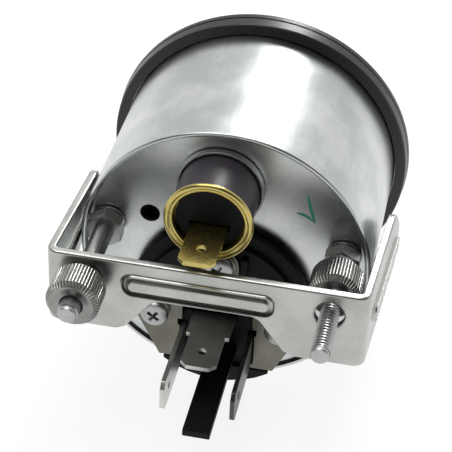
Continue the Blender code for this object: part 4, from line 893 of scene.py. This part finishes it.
marks = []
for step in range(9):
    angle = -POINTER_REST + 10.0 * step
    length = 0.0030 if step % 4 == 0 else 0.0022 if step % 2 == 0 else 0.0014
    width = 0.0009 if step % 4 == 0 else 0.0006
    tick = block("tick", (-width / 2, -0.00005, -length), (width / 2, 0.00005, 0.0))
    modify(tick, "BEVEL", width=0.00002, segments=1)
    marks.append(on_dial(tick, angle, 0.0208))
for text, angle in (("0", -POINTER_REST), ("1/2", 0.0), ("1", POINTER_REST)):
    bpy.ops.object.select_all(action="DESELECT")
    bpy.ops.object.text_add(rotation=(math.pi / 2, 0.0, 0.0))
    figure = bpy.context.object
    figure.data.body = text
    figure.data.size = 0.0042
    figure.data.align_x = "CENTER"
    figure.data.align_y = "CENTER"
    figure.data.extrude = 0.00004
    take(figure)
    bpy.ops.object.convert(target="MESH")
    figure.rotation_euler = (math.pi / 2, 0.0, 0.0)
    settle(figure)
    lean = math.radians(angle)
    figure.location = (0.0152 * math.sin(lean), DIAL_Y - 0.00006, 0.0152 * math.cos(lean))
    marks.append(settle(figure))
add_on(fuse("dial_marks", *marks), "dial_plate", mark_paint)
bpy.ops.object.select_all(action="DESELECT")
zone = lathe("low_zone", [(0.0212, DIAL_Y - 0.0001), (0.0220, DIAL_Y - 0.0001), (0.0220, DIAL_Y - 0.00002),
                          (0.0212, DIAL_Y - 0.00002)], 180, ring=True)
take(zone)
bpy.ops.object.mode_set(mode="EDIT")
for degrees, side in ((-41.0, -1.0), (-29.0, 1.0)):
    lean = math.radians(degrees)
    bpy.ops.mesh.select_all(action="SELECT")
    bpy.ops.mesh.bisect(plane_co=(0.0, 0.0, 0.0), clear_outer=True, use_fill=True,
                        plane_no=(side * math.cos(lean), 0.0, -side * math.sin(lean)))
bpy.ops.mesh.select_all(action="SELECT")
bpy.ops.mesh.bisect(plane_co=(0.0, 0.0, 0.0), plane_no=(0.0, 0.0, -1.0), clear_outer=True, use_fill=True)
bpy.ops.object.mode_set(mode="OBJECT")
add_on(zone, "dial_plate", red_paint)

refine("pointer", pointer_paint, 0.00006)
refine("pointer_hub", black_moulding, 0.0002, 3)
refine("spindle", steel, 0.0)
refine("rotor_magnet", magnet_alloy, 0.0002)
for node in ("former_front", "former_rear"):
    refine(node, nylon, 0.0003)
for node in ("coil_inner", "coil_outer"):
    refine(node, winding, 0.0004, 3)
for node in ("bearing_front", "bearing_rear", "pillar_left", "pillar_right", "pillar_top"):
    refine(node, brass, 0.0001)
for node in ("dial_post_left", "dial_post_right"):
    refine(node, steel, 0.0001)
refine("resistor", resistor_coat, 0.0004, 3)


# Floor, light and surroundings
bpy.ops.object.select_all(action="DESELECT")
bpy.ops.mesh.primitive_plane_add(size=6.0, location=(0.0, 0.0, cad_bounds[0][2] - 0.0001))
floor = bpy.context.object
floor.name = "floor"
white = Finish("floor_white", 0.9)
seen = 0.0
for kind in ("Is Camera Ray", "Is Glossy Ray", "Is Transmission Ray"):
    seen = white.math("MAXIMUM", white.node("ShaderNodeLightPath", {}, {}, kind), seen)
tint = white.noise(6.0) * 0.01
white.colour(white.blend(seen, (0.80, 0.80, 0.80), (0.16, 0.16, 0.16)))
white.shader.inputs["Emission Strength"].default_value = 1.0
glow = white.node("ShaderNodeCombineXYZ", {}, {axis: seen * (0.86 + tint) for axis in "XYZ"}, "Vector")
white.tree.links.new(glow.socket, white.shader.inputs["Emission Color"])
floor.data.materials.append(white.made)

# Surroundings: white low down and on the dial's side, dark overhead and high on the terminals' side
world = bpy.data.worlds.new("surroundings")
bpy.context.scene.world = world
world.use_nodes = True
room = Nodes(world.node_tree, "Generated")
dark_side = room.y.between(-0.45, 0.20) * room.z.between(0.16, 0.34)
background = world.node_tree.nodes["Background"]
world.node_tree.links.new(room.blend(dark_side, (1.0, 1.0, 1.0), (0.05, 0.045, 0.035)).socket,
                          background.inputs["Color"])
background.inputs["Strength"].default_value = 0.85


def lamp(name, place, target, power, width, height):
    """Rectangular soft light aimed at a point."""
    light = bpy.data.lights.new(name, "AREA")
    light.shape = "RECTANGLE"
    light.size = width
    light.size_y = height
    light.energy = power
    made = bpy.data.objects.new(name, light)
    made.location = place
    made.rotation_euler = (Vector(target) - Vector(place)).to_track_quat("-Z", "Y").to_euler()
    bpy.context.scene.collection.objects.link(made)


lamp("overhead", (0.15, 0.05, 0.7), (0.0, 0.02, 0.0), 2.6, 0.5, 0.5)
lamp("streak", (-0.07, -0.6, 0.46), (0.0, 0.02, 0.0), 3.0, 0.12, 0.4)
